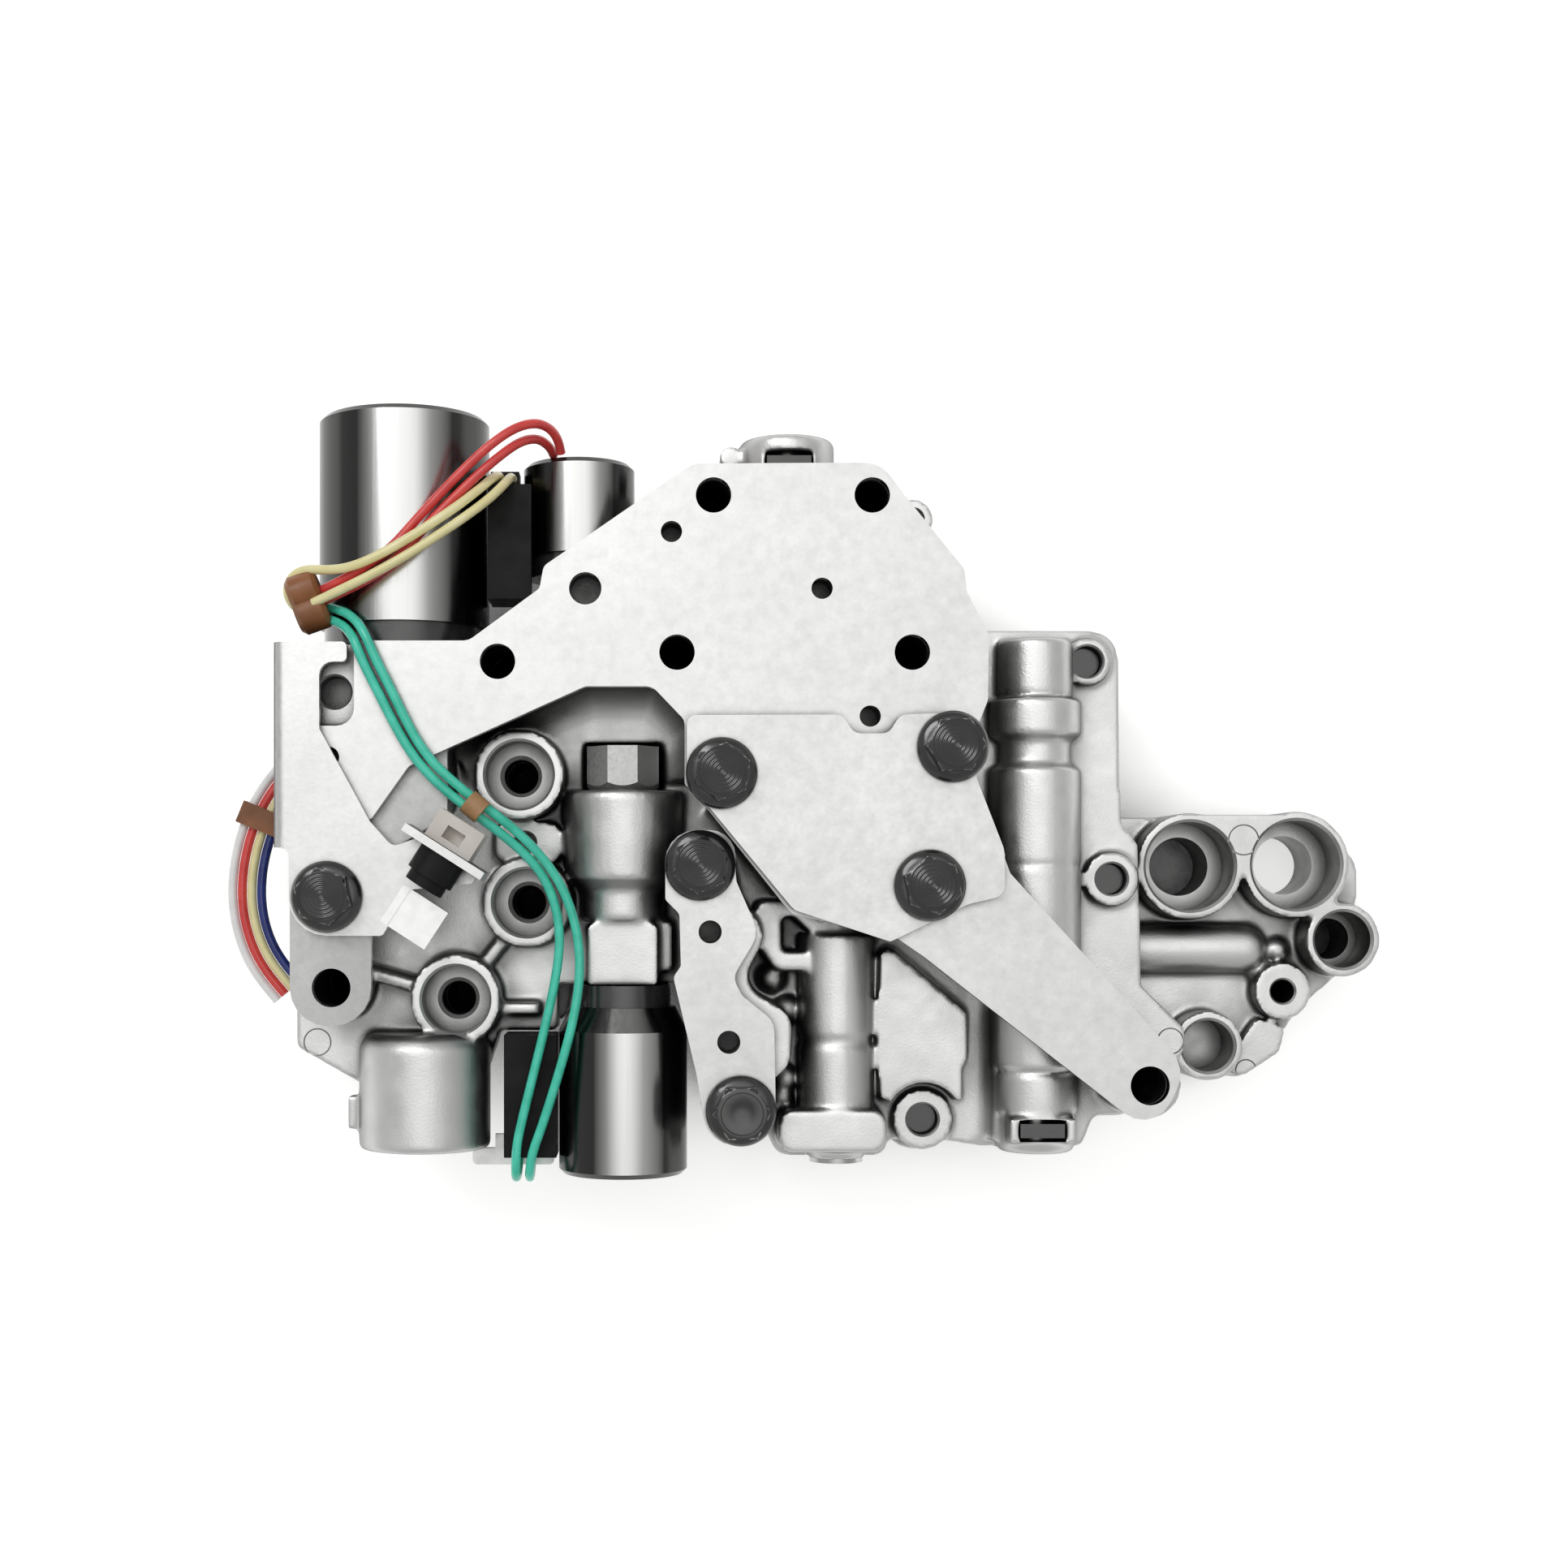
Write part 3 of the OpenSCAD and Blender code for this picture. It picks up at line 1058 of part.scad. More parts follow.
// Regulator valve, stacked from its closed end towards -Y
module at_regulator() along_y(regulator_x, regulator_north, z_axis, -1) children();
module regulator_spool() color("lightsteelblue") at_regulator() spool(regulator_lands, valve_r, stop_gap);
module regulator_spring()
    color("gray") at_regulator() translate([0, 0, regulator_spool_end])
        valve_spring(valve_bore_r, regulator_spring_l, regulator_turns);
module regulator_plug()
    color("silver") at_regulator()
        grooved_plug(valve_r, regulator_spool_end + regulator_spring_l, regulator_l - plug_inset,
            regulator_l - clip_in);
module regulator_clip() color("black") fork_clip(regulator_x, regulator_south + clip_in);

// Switch valve, stacked the same way
module at_switch() along_y(switch_x, switch_north, z_axis, -1) children();
module switch_spool() color("lightsteelblue") at_switch() spool(switch_lands, valve_r, stop_gap);
module switch_spring()
    color("gray") at_switch() translate([0, 0, switch_spool_end])
        valve_spring(valve_bore_r, switch_spring_l, switch_turns);
module switch_plug()
    color("silver") at_switch() rod(valve_r, switch_spool_end + switch_spring_l, switch_l + switch_plug_proud);

// Shift valve, stacked from its closed end towards +Y
module at_shift() along_y(shift_x, shift_south, z_axis, 1) children();
module shift_spool() color("lightsteelblue") at_shift() spool(shift_lands, shift_r, stop_gap);
module shift_spring()
    color("gray") at_shift() translate([0, 0, shift_spool_end])
        valve_spring(shift_bore_r, shift_spring_l, shift_turns);
module shift_plug()
    color("silver") at_shift()
        grooved_plug(
            shift_r, shift_spool_end + shift_spring_l, shift_l + shift_plug_proud, shift_l - shift_clip_in
        );
module shift_clip() color("dimgray") fork_clip(shift_x, shift_north - shift_clip_in);

// Accumulator, stacked from its closed end towards -Y
module at_accumulator() along_y(accumulator_x, accumulator_north, z_axis, -1) children();
module accumulator_piston()
    color("silver") at_accumulator() difference() {
        rod(accumulator_r, stop_gap, piston_floor + piston_skirt);
        rod(accumulator_r - piston_wall, piston_floor, piston_floor + piston_skirt + 1);
    }
module accumulator_spring()
    color("gray") at_accumulator() translate([0, 0, piston_floor])
        coil_spring(accumulator_r - piston_wall - spring_clear - accumulator_wire / 2, accumulator_wire,
            accumulator_spring_l, accumulator_turns);
module accumulator_cap()
    color("gray") at_accumulator() rod(accumulator_r, accumulator_l - cap_l, accumulator_l - plug_inset);

// Sensor plug through the bracket's upright tab
module at_tab() translate([tab_from[0], tab_from[1], z_main]) rotate([0, 0, tab_turn]) children();
module sensor_connector()
    color("black") at_tab() translate([tab_l / 2, sheet_t + sensor_gap, sensor_rise]) rotate([90, 0, 0]) {
        cylinder(d = sensor_d, h = sensor_l);
        translate([0, 0, sheet_t + 2 * sensor_gap])
            cylinder(d = sensor_d + 2 * sensor_collar, h = sensor_collar_l);
    }
module sensor_clip()
    color("linen") at_tab()
        translate([tab_l / 2 - sensor_clip_size[0] / 2, sheet_t + sensor_gap, sensor_rise - sensor_clip_drop])
            difference() {
                cube(sensor_clip_size);
                translate([(sensor_clip_size[0] - sensor_window[0]) / 2, sensor_window[1] / 2, sensor_window_z])
                    cube([sensor_window[0], sensor_window[1], sensor_clip_size[2]]);
            }

module red_wires() color("firebrick") for (r = [red_upper, red_lower]) wire(r);
module yellow_wires() color("khaki") for (r = [yellow_upper, yellow_lower]) wire(r);
module green_wires() color("mediumseagreen") for (r = [green_left, green_right]) wire(r);
function across_route(route, i) =
    let (run = route[min(i + 1, len(route) - 1)] - route[max(i - 1, 0)])
    unit([-run[1], run[0], 0]);
module side_wires()
    color("lightyellow") for (k = [-1.5 : 1.5])
        wire([
                for (i = [0 : len(side_route) - 1])
                    side_route[i] + across_route(side_route, i) * k * side_pitch
            ]);

module harness_tie()
    color("saddlebrown") translate(harness_tie_place) rotate([0, 0, harness_tie_turn])
        for (lobe = harness_tie_lobes)
            translate([0, lobe[0], lobe[1]]) rotate([0, 90, 0])
                turned([
                    [-harness_tie_l / 2, lobe[2] - harness_tie_edge],
                    [-harness_tie_l / 2 + harness_tie_edge, lobe[2]],
                    [harness_tie_l / 2 - harness_tie_edge, lobe[2]],
                    [harness_tie_l / 2, lobe[2] - harness_tie_edge]
                ]);
module side_tie()
    color("saddlebrown") translate(side_route[2]) rotate([0, 0, angle_of(side_route[3] - side_route[1])])
        translate(-side_tie_size / 2) cube(side_tie_size);
module wire_tape()
    color("peru") translate(tape_place) rotate([0, 0, tape_turn]) rotate([0, 90, 0])
        rod(tape_r, -tape_l / 2, tape_l / 2);

lower_body();
separator_plate();
upper_body();
main_plate();
cover_plate();
retainer_plate();
anchor_plate();
harness_bracket();
cover_bolts();
retainer_bolts();
bracket_bolt();
body_screws();
main_can();
main_coil();
main_nose();
main_plunger();
main_plunger_spring();
small_can();
small_coil();
small_nose();
small_plunger();
small_plunger_spring();
small_connector();
lower_can();
lower_coil();
lower_nose();
lower_plunger();
lower_plunger_spring();
lower_connector();
lower_strap();
adjuster_plug();
regulator_spool();
regulator_spring();
regulator_plug();
regulator_clip();
switch_spool();
switch_spring();
switch_plug();
shift_spool();
shift_spring();
shift_plug();
shift_clip();
accumulator_piston();
accumulator_spring();
accumulator_cap();
red_wires();
yellow_wires();
green_wires();
side_wires();
harness_tie();
side_tie();
wire_tape();
sensor_clip();
sensor_connector();
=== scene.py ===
import json
import math

import bmesh
import bpy
from mathutils import Matrix, Vector


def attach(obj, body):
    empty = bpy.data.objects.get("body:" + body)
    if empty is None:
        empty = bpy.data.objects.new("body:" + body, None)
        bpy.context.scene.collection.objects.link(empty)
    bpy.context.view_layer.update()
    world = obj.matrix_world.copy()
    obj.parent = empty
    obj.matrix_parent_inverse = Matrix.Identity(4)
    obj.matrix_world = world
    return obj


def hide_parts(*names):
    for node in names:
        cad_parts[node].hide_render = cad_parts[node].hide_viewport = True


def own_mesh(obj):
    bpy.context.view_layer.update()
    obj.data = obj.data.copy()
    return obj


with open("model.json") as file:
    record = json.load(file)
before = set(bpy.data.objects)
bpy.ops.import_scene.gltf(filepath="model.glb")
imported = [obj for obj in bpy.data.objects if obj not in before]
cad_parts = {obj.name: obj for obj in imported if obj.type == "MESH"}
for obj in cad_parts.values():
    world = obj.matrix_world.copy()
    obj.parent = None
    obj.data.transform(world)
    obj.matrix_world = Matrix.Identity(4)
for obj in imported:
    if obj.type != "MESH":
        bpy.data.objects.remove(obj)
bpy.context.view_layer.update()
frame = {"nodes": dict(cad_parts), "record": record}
NODES = frame["nodes"]
BODY = "valve_body"
MM = 0.001
UP = (0, 0, 1)


def new_object(name, data):
    obj = bpy.data.objects.new(name, data)
    bpy.context.scene.collection.objects.link(obj)
    return obj


def settle(obj, node):
    """Carries an added piece on the fixed body, in place of a CAD node, which it hides."""
    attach(obj, BODY)
    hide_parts(node)


# Camera, straight above and shifted as the photograph is framed

CAMERA_PLACE = (-0.0248, -0.0216, 0.449)
LENS = 46.58
SENSOR = 36
SHIFT = (0.0802, 0.0699)
SEEN_FROM, SEEN_TO = 0.01, 20


def make_camera():
    data = bpy.data.cameras.new("camera")
    data.lens = LENS
    data.sensor_width = SENSOR
    data.shift_x, data.shift_y = SHIFT
    data.clip_start, data.clip_end = SEEN_FROM, SEEN_TO
    camera = new_object("camera", data)
    camera.location = CAMERA_PLACE
    bpy.context.scene.camera = camera


# Node graphs for the materials

class Graph:
    """A material's node tree, with short calls for the nodes that the finishes use."""

    def __init__(self, name):
        self.material = bpy.data.materials.new(name)
        self.material.use_nodes = True
        self.tree = self.material.node_tree
        self.shader = self.tree.nodes["Principled BSDF"]
        coordinates = self.tree.nodes.new("ShaderNodeTexCoord").outputs
        self.place = coordinates["Object"]
        self.normal = coordinates["Normal"]

    def feed(self, socket, value):
        """Links another node's output to a socket, or sets the socket to a plain value."""
        if isinstance(value, bpy.types.NodeSocket):
            self.tree.links.new(value, socket)
        else:
            socket.default_value = value

    def add(self, kind, **inputs):
        node = self.tree.nodes.new(kind)
        for key, value in inputs.items():
            self.feed(node.inputs[key], value)
        return node

    def set(self, **inputs):
        for key, value in inputs.items():
            self.feed(self.shader.inputs[key.replace("_", " ")], value)
        return self.material

    def noise(self, scale, detail=2.0, stretch=(1, 1, 1)):
        place = self.add("ShaderNodeMapping", Vector=self.place, Scale=stretch).outputs["Vector"]
        return self.add("ShaderNodeTexNoise", Vector=place, Scale=scale, Detail=detail).outputs["Fac"]

    def range(self, value, low, high, start=0.3, end=0.7):
        """Low where a value is at its start, and high where it is at its end."""
        limits = {"From Min": start, "From Max": end, "To Min": low, "To Max": high}
        return self.add("ShaderNodeMapRange", Value=value, **limits).outputs["Result"]

    def painted_shade_mask(self, reach, start, end):
        """A mask for painted shade: 0 in corners and holes, which are painted darker, and 1 on open faces."""
        node = self.add("ShaderNodeAmbientOcclusion", Distance=reach)
        node.samples = 6
        return self.range(node.outputs["AO"], 0, 1, start, end)

    def compare(self, operation, value, fixed):
        """One number from a vector and a fixed one, such as their distance."""
        node = self.tree.nodes.new("ShaderNodeVectorMath")
        node.operation = operation
        self.feed(node.inputs[0], value)
        self.feed(node.inputs[1], fixed)
        return node.outputs["Value"]

    def facing(self, way, start, end):
        """0 where a surface turns away from a direction, and 1 where it faces it."""
        return self.range(self.compare("DOT_PRODUCT", self.normal, way), 0, 1, start, end)

    def join(self, operation, first, second):
        node = self.tree.nodes.new("ShaderNodeMath")
        node.operation = operation
        self.feed(node.inputs[0], first)
        self.feed(node.inputs[1], second)
        return node.outputs[0]

    def mix(self, factor, first, second):
        """A blend of two colours. The mix node's colour sockets share names, so they go by number."""
        node = self.tree.nodes.new("ShaderNodeMix")
        node.data_type = "RGBA"
        for index, value in ((0, factor), (6, first), (7, second)):
            self.feed(node.inputs[index], value)
        return node.outputs[2]

    def bump(self, height, strength, distance):
        return self.add("ShaderNodeBump", Height=height, Strength=strength, Distance=distance).outputs["Normal"]


def grey(value):
    return (value, value, value * 0.99, 1)


# Finishes

# Painted shade on metal that turns away from above and on metal in corners, and on the cans painted shade on
# their sides and a painted highlight on their tops
CAST_SIDE_SHADE, CAST_CORNER_SHADE = grey(0.2), grey(0.07)
SHEET_SIDE_SHADE, SHEET_CORNER_SHADE = grey(0.07), grey(0.06)
CAN_SIDE_SHADE, CAN_TOP_HIGHLIGHT = grey(0.07), grey(0.78)
# Way on which the painted highlight band on the cans is centred, and way in which the bracket's tongue droops,
# whose faces are painted white as a highlight
CAN_HIGHLIGHT_WAY = (0.12, 0, 0.993)
TONGUE_HIGHLIGHT_WAY = (0.838, -0.546, 0)


def cast_aluminium():
    g = Graph("cast_aluminium")
    grain = g.noise(2200, 3)
    cloud = g.noise(70)
    colour = g.mix(g.range(cloud, 0, 1), grey(0.82), grey(0.92))
    # Painted shade: faces that turn away from above are darker, and corners and holes darker still.
    colour = g.mix(g.facing(UP, 0.25, 0.93), CAST_SIDE_SHADE, colour)
    return g.set(
        Base_Color=g.mix(g.painted_shade_mask(7 * MM, 0.3, 0.82), CAST_CORNER_SHADE, colour),
        Metallic=1.0,
        Roughness=g.range(g.noise(240, 3), 0.36, 0.48),
        Normal=g.bump(grain, 0.35, 0.12 * MM),
    )


def sheet_metal(name, dark, light, rough, speck, bump):
    g = Graph(name)
    fine = g.noise(speck, 4)
    cloud = g.noise(45)
    blotch = g.range(g.noise(420, 3), 0, 1)
    colour = g.mix(g.range(cloud, 0, 1), dark, light)
    colour = g.mix(g.range(fine, 0, 0.3), colour, grey(dark[0] * 0.86))
    # Painted shade on faces that turn away from above and in corners, and a painted highlight on the drooping
    # tongue.
    colour = g.mix(g.facing(UP, 0.5, 0.9), SHEET_SIDE_SHADE, colour)
    colour = g.mix(g.facing(TONGUE_HIGHLIGHT_WAY, 0.025, 0.045), colour, grey(1))
    return g.set(
        Base_Color=g.mix(g.painted_shade_mask(2.5 * MM, 0.3, 0.75), SHEET_CORNER_SHADE, colour),
        Metallic=1.0,
        Roughness=g.range(blotch, rough, rough + 0.12, 0, 1),
        Normal=g.bump(fine, bump, 0.06 * MM),
    )


def drawn_steel(name, dark, light, rough, stretch):
    g = Graph(name)
    streak = g.noise(1500, 3, stretch)
    cloud = g.noise(60)
    return g.set(
        Base_Color=g.mix(g.range(cloud, 0, 1), dark, light),
        Metallic=1.0,
        Roughness=g.range(streak, rough, rough + 0.14),
        Normal=g.bump(streak, 0.12, 0.04 * MM),
    )


def can_steel():
    g = Graph("can_steel")
    streak = g.noise(1500, 3, (1, 0.02, 1))
    # The base colour is painted light: a bright highlight band along the tops of the cans and painted shade on
    # their sides.
    return g.set(
        Base_Color=g.mix(g.facing(CAN_HIGHLIGHT_WAY, 0.84, 0.99), CAN_SIDE_SHADE, CAN_TOP_HIGHLIGHT),
        Metallic=1.0,
        Roughness=g.range(streak, 0.18, 0.28),
        Normal=g.bump(streak, 0.12, 0.04 * MM),
    )


def oiled_black(name, tone):
    g = Graph(name)
    film = g.noise(180, 3)
    fine = g.noise(1500)
    return g.set(
        Base_Color=g.mix(g.range(film, 0, 1), grey(tone), grey(tone * 2.4)),
        Metallic=0.3,
        IOR=1.9,
        Roughness=g.range(film, 0.14, 0.3),
        Normal=g.bump(fine, 0.2, 0.08 * MM),
        Coat_Weight=0.5,
        Coat_Roughness=0.1,
    )


def moulded(name, dark, light, rough, shine=0.5):
    g = Graph(name)
    fine = g.noise(1800)
    return g.set(
        Base_Color=g.mix(g.range(g.noise(130), 0, 1), dark, light),
        Roughness=g.range(g.noise(300), rough, rough + 0.15),
        Specular_IOR_Level=shine,
        Normal=g.bump(fine, 0.15, 0.06 * MM),
    )


def pvc(name, dark, light):
    g = Graph(name)
    return g.set(
        Base_Color=g.mix(g.range(g.noise(260), 0, 1), dark, light),
        Roughness=g.range(g.noise(600), 0.24, 0.36),
        Normal=g.bump(g.noise(900), 0.08, 0.08 * MM),
        Coat_Weight=0.3,
    )


def enamelled_copper():
    g = Graph("copper")
    turns = g.noise(900, 1, (0.05, 3, 0.05))
    return g.set(
        Base_Color=g.mix(g.range(turns, 0, 1), (0.42, 0.16, 0.06, 1), (0.75, 0.38, 0.18, 1)),
        Metallic=0.9,
        Roughness=g.range(turns, 0.25, 0.4),
        Normal=g.bump(turns, 0.5, 0.2 * MM),
    )


# Finish of each material slot
FINISH = {
    "cast_aluminium": cast_aluminium(),
    "plate_steel": sheet_metal("plate_steel", grey(0.82), grey(0.86), 0.36, 1500, 0.1),
    "grey_steel": sheet_metal("grey_steel", grey(0.5), grey(0.62), 0.4, 1300, 0.2),
    "black_bolt": oiled_black("black_bolt", 0.012),
    "can_steel": can_steel(),
    "copper": enamelled_copper(),
    "dark_steel": oiled_black("dark_steel", 0.02),
    "valve_steel": drawn_steel("valve_steel", grey(0.55), grey(0.68), 0.22, (0.05, 1, 0.05)),
    "spring_steel": drawn_steel("spring_steel", grey(0.32), grey(0.45), 0.26, (1, 1, 1)),
    "black_plastic": moulded("black_plastic", grey(0.006), grey(0.014), 0.4, 0.15),
    "pale_plastic": moulded("pale_plastic", (0.62, 0.57, 0.52, 1), (0.74, 0.7, 0.66, 1), 0.4),
    "red_pvc": pvc("red_pvc", (0.68, 0.05, 0.05, 1), (0.82, 0.08, 0.07, 1)),
    "yellow_pvc": pvc("yellow_pvc", (0.85, 0.77, 0.38, 1), (0.95, 0.88, 0.5, 1)),
    "green_pvc": pvc("green_pvc", (0.05, 0.6, 0.42, 1), (0.09, 0.76, 0.56, 1)),
    "mixed_pvc": pvc("white_pvc", (0.88, 0.87, 0.86, 1), (0.96, 0.95, 0.94, 1)),
    "brown_rubber": moulded("brown_rubber", (0.17, 0.06, 0.018, 1), (0.32, 0.12, 0.04, 1), 0.35),
}
# Finishes of single pieces that differ from the rest of their slot
SATIN_PLATE = sheet_metal("satin_plate", grey(0.78), grey(0.88), 0.34, 1100, 0.3)
PLUG_STEEL = drawn_steel("plug_steel", grey(0.62), grey(0.74), 0.5, (1, 1, 1))
TAN_TAPE = moulded("tan_tape", (0.4, 0.22, 0.1, 1), (0.55, 0.34, 0.17, 1), 0.35)
# Dark finish for the plates' bevelled edges: painted shade along their outlines.
PAINTED_SHADE_EDGE = sheet_metal("painted_shade_edge", grey(0.05), grey(0.1), 0.45, 1500, 0.1)
BLUE_PVC = pvc("blue_pvc", (0.015, 0.025, 0.16, 1), (0.025, 0.045, 0.25, 1))
OWN_FINISH = {
    "cover_plate": SATIN_PLATE, "retainer_plate": SATIN_PLATE, "harness_bracket": SATIN_PLATE,
    "lower_strap": SATIN_PLATE, "wire_tape": TAN_TAPE, "adjuster_plug": PLUG_STEEL,
}


def dress_nodes():
    for part in frame["record"]["subparts"]:
        node = part["node"]
        materials = NODES[node].data.materials
        materials.clear()
        materials.append(OWN_FINISH.get(node, FINISH[part["material_slot"]]))


# Wires, each a smooth line through the route's points, in millimetres

ROUTES = {
    "red_upper": [
        (-93.9, 37.7, 45.2), (-86.4, 41, 47.5), (-80.6, 44.4, 48.6), (-76.8, 47.4, 48.7),
        (-72.4, 52.4, 48.8), (-63.2, 62, 49.5), (-56.6, 67.8, 49.6), (-52, 70.8, 48.4), (-48, 71.8, 46),
        (-45.2, 70.2, 42.6), (-44.4, 67.3, 39.8),
    ],
    "red_lower": [
        (-93.1, 35.9, 45.6), (-85.4, 38.9, 47.5), (-79.4, 42.2, 48.6), (-75, 45.6, 48.7),
        (-70.8, 50.8, 48.8), (-61.6, 59.8, 49.3), (-55.8, 65, 48.6), (-52.2, 68, 46.6), (-49, 69.4, 43.4),
        (-46.8, 68.6, 39.8), (-46, 67.4, 37.2),
    ],
    "yellow_upper": [
        (-93.4, 34.6, 42), (-95.6, 34.8, 42.8), (-97.8, 36, 43.8), (-98.8, 38.6, 44.8), (-97.7, 41.3, 45.7),
        (-95, 42.6, 46.7), (-91.6, 42.4, 47.9), (-86, 42.4, 49.8), (-79.7, 44.8, 50.9), (-73.4, 48.4, 51),
        (-65, 54, 50.4), (-60.2, 58.2, 48.6), (-57.6, 61.2, 45.4), (-56.9, 62.5, 40.6), (-56.9, 62.6, 35.4),
    ],
    "yellow_lower": [
        (-93.1, 35.9, 47.8), (-85, 39.2, 50.1), (-78.5, 42.4, 50.9), (-71.9, 46.2, 50.9), (-63, 52.4, 49.8),
        (-57.8, 56.8, 48), (-55.2, 60.2, 45.2), (-54.4, 62.2, 40.8), (-54.4, 62.6, 35.4),
    ],
    "green_left": [
        (-90.6, 33.2, 44), (-87, 31.4, 47.2), (-84.5, 28.2, 50.3), (-82.9, 24, 50.4), (-79.8, 18, 50.4),
        (-75.8, 10, 50.3), (-70.4, 2, 50.3), (-61.6, -5.4, 49.4), (-54.8, -10.6, 46.6), (-48.2, -17, 43.8),
        (-44.8, -26, 42.6), (-44.8, -36, 42), (-48.4, -52, 41.5), (-52.4, -68, 41.5), (-53.2, -72.4, 41.5),
        (-53.4, -75.4, 41.5), (-53.5, -78.1, 40.4), (-53.5, -79.2, 37.6), (-53.4, -78.1, 34.8),
        (-53.3, -75.6, 33.7),
    ],
    "green_right": [
        (-91.4, 35.8, 43), (-86.6, 34.2, 46.4), (-83, 30.6, 50), (-80.7, 25.2, 50.4), (-77.4, 18.8, 50.4),
        (-73.6, 10.8, 50.3), (-68.8, 3.6, 50.3), (-60.2, -3.6, 49.4), (-53, -9, 46.6), (-45.2, -17.6, 44),
        (-41.2, -28, 43), (-40.4, -38, 43.2), (-42.4, -50, 44.2), (-47.8, -67.4, 42.2),
        (-49.6, -72.2, 41.6), (-50.4, -75.4, 41.5), (-50.7, -78.1, 40.4), (-50.8, -79.2, 37.6),
        (-50.8, -78.1, 34.8), (-50.7, -75.6, 33.7),
    ],
}
# Middle of the four side wires, and their distance from one another
SIDE_ROUTE = [
    (-99.2, 3.4, 33.6), (-102.8, -0.8, 33.6), (-106, -6.4, 33.6), (-108.6, -15, 33.6), (-109, -25, 33.6),
    (-106, -34.6, 33.6), (-100.4, -41.6, 33.6),
]
SIDE_PITCH = 1.98
SIDE_FINISHES = [FINISH["mixed_pvc"], FINISH["red_pvc"], FINISH["yellow_pvc"], BLUE_PVC]
WIRE_D = 1.9
# Steps from one route point to the next, and passes that even out a wire's bends
STEPS = 6
EASING = 10


def smooth_line(points):
    """Points along a smooth line through the given ones."""
    pts = [Vector(p) for p in points]
    pts = [pts[0] * 2 - pts[1]] + pts + [pts[-1] * 2 - pts[-2]]
    line = []
    for a, b, c, d in zip(pts, pts[1:], pts[2:], pts[3:]):
        for i in range(STEPS):
            t = i / STEPS
            square = (2 * a - 5 * b + 4 * c - d) * t * t
            cube = (3 * b - a - 3 * c + d) * t * t * t
            line.append(0.5 * (2 * b + (c - a) * t + square + cube))
    line.append(pts[-2])
    for _ in range(EASING):
        middle = [(a + 2 * b + c) / 4 for a, b, c in zip(line, line[1:], line[2:])]
        line = [line[0], *middle, line[-1]]
    return line


def make_wire(name, points, finish, node):
    line = [p * MM for p in smooth_line(points)]
    curve = bpy.data.curves.new(name, "CURVE")
    curve.dimensions = "3D"
    curve.bevel_depth = WIRE_D / 2 * MM
    curve.bevel_resolution = 4
    curve.use_fill_caps = True
    spline = curve.splines.new("POLY")
    spline.points.add(len(line) - 1)
    for point, place in zip(spline.points, line):
        point.co = (*place, 1)
    curve.materials.append(finish)
    wire = new_object(name, curve)
    settle(wire, node)


def side_strand(offset):
    """The side route, shifted sideways by an offset."""
    pts = [Vector(p) for p in SIDE_ROUTE]
    strand = []
    for i, p in enumerate(pts):
        run = pts[min(i + 1, len(pts) - 1)] - pts[max(i - 1, 0)]
        strand.append(p + Vector((-run.y, run.x, 0)).normalized() * offset)
    return strand


def make_wires():
    for name, points in ROUTES.items():
        colour = name.split("_")[0]
        slot = colour + "_pvc"
        make_wire(name + "_wire", points, FINISH[slot], colour + "_wires")
    for i, finish in enumerate(SIDE_FINISHES):
        offset = (i - (len(SIDE_FINISHES) - 1) / 2) * SIDE_PITCH
        make_wire(f"side_wire_{i}", side_strand(offset), finish, "side_wires")


# Meshes made of loops of points, in millimetres

# Turns that point a turned body's axis along a way
ALONG = {
    "+z": Matrix.Identity(3),
    "+y": Matrix(((1, 0, 0), (0, 0, 1), (0, -1, 0))),
    "-y": Matrix(((1, 0, 0), (0, 0, -1), (0, 1, 0))),
}
LATHE_SIDES = 56


def skin(bm, loops, ring=False):
    """Faces between loops of points, closed by end faces, or for a ring by going back to the first loop."""
    following = loops[1:] + loops[:1] if ring else loops[1:]
    for low, high in zip(loops, following):
        for i in range(len(low)):
            j = (i + 1) % len(low)
            bm.faces.new((low[i], low[j], high[j], high[i]))
    if not ring:
        bm.faces.new(loops[0][::-1])
        bm.faces.new(loops[-1])


def add_lathe(bm, place, way, profile, sides=LATHE_SIDES, ring=False):
    """A closed turned body of (height, radius) pairs along a way, or a ring of that section."""
    turn = ALONG[way]
    loops = []
    for height, radius in profile:
        loop = []
        for i in range(sides):
            angle = 2 * math.pi * i / sides
            offset = Vector((radius * math.cos(angle), radius * math.sin(angle), height))
            loop.append(bm.verts.new((Vector(place) + turn @ offset) * MM))
        loops.append(loop)
    skin(bm, loops, ring)


def add_box(bm, low, high):
    made = bmesh.ops.create_cube(bm, size=1)["verts"]
    middle = (Vector(low) + Vector(high)) / 2
    size = Vector(high) - Vector(low)
    for v in made:
        v.co = Vector(c * s + m for c, s, m in zip(v.co, size, middle)) * MM


def mesh_from(bm, name):
    bmesh.ops.recalc_face_normals(bm, faces=bm.faces)
    mesh = bpy.data.meshes.new(name)
    bm.to_mesh(mesh)
    bm.free()
    return mesh


def shade(obj, sharp_angle, finish):
    """Smooth faces with sharp edges from an angle on, in one finish."""
    obj.data.shade_smooth()
    obj.data.set_sharp_from_angle(angle=math.radians(sharp_angle))
    obj.data.materials.clear()
    obj.data.materials.append(finish)


def apply_modifiers(obj):
    bpy.context.view_layer.update()
    shown = obj.evaluated_get(bpy.context.evaluated_depsgraph_get())
    made = bpy.data.meshes.new_from_object(shown)
    obj.modifiers.clear()
    obj.data = made


# Castings with soft edges and machined holes

VOXEL = 0.5
CAST_SHARP = 38
# How far a plug reaches into the wall of the hole that it fills, and a drilled hole's chamfer
PLUG_REACH = 0.4
LIP = 0.4
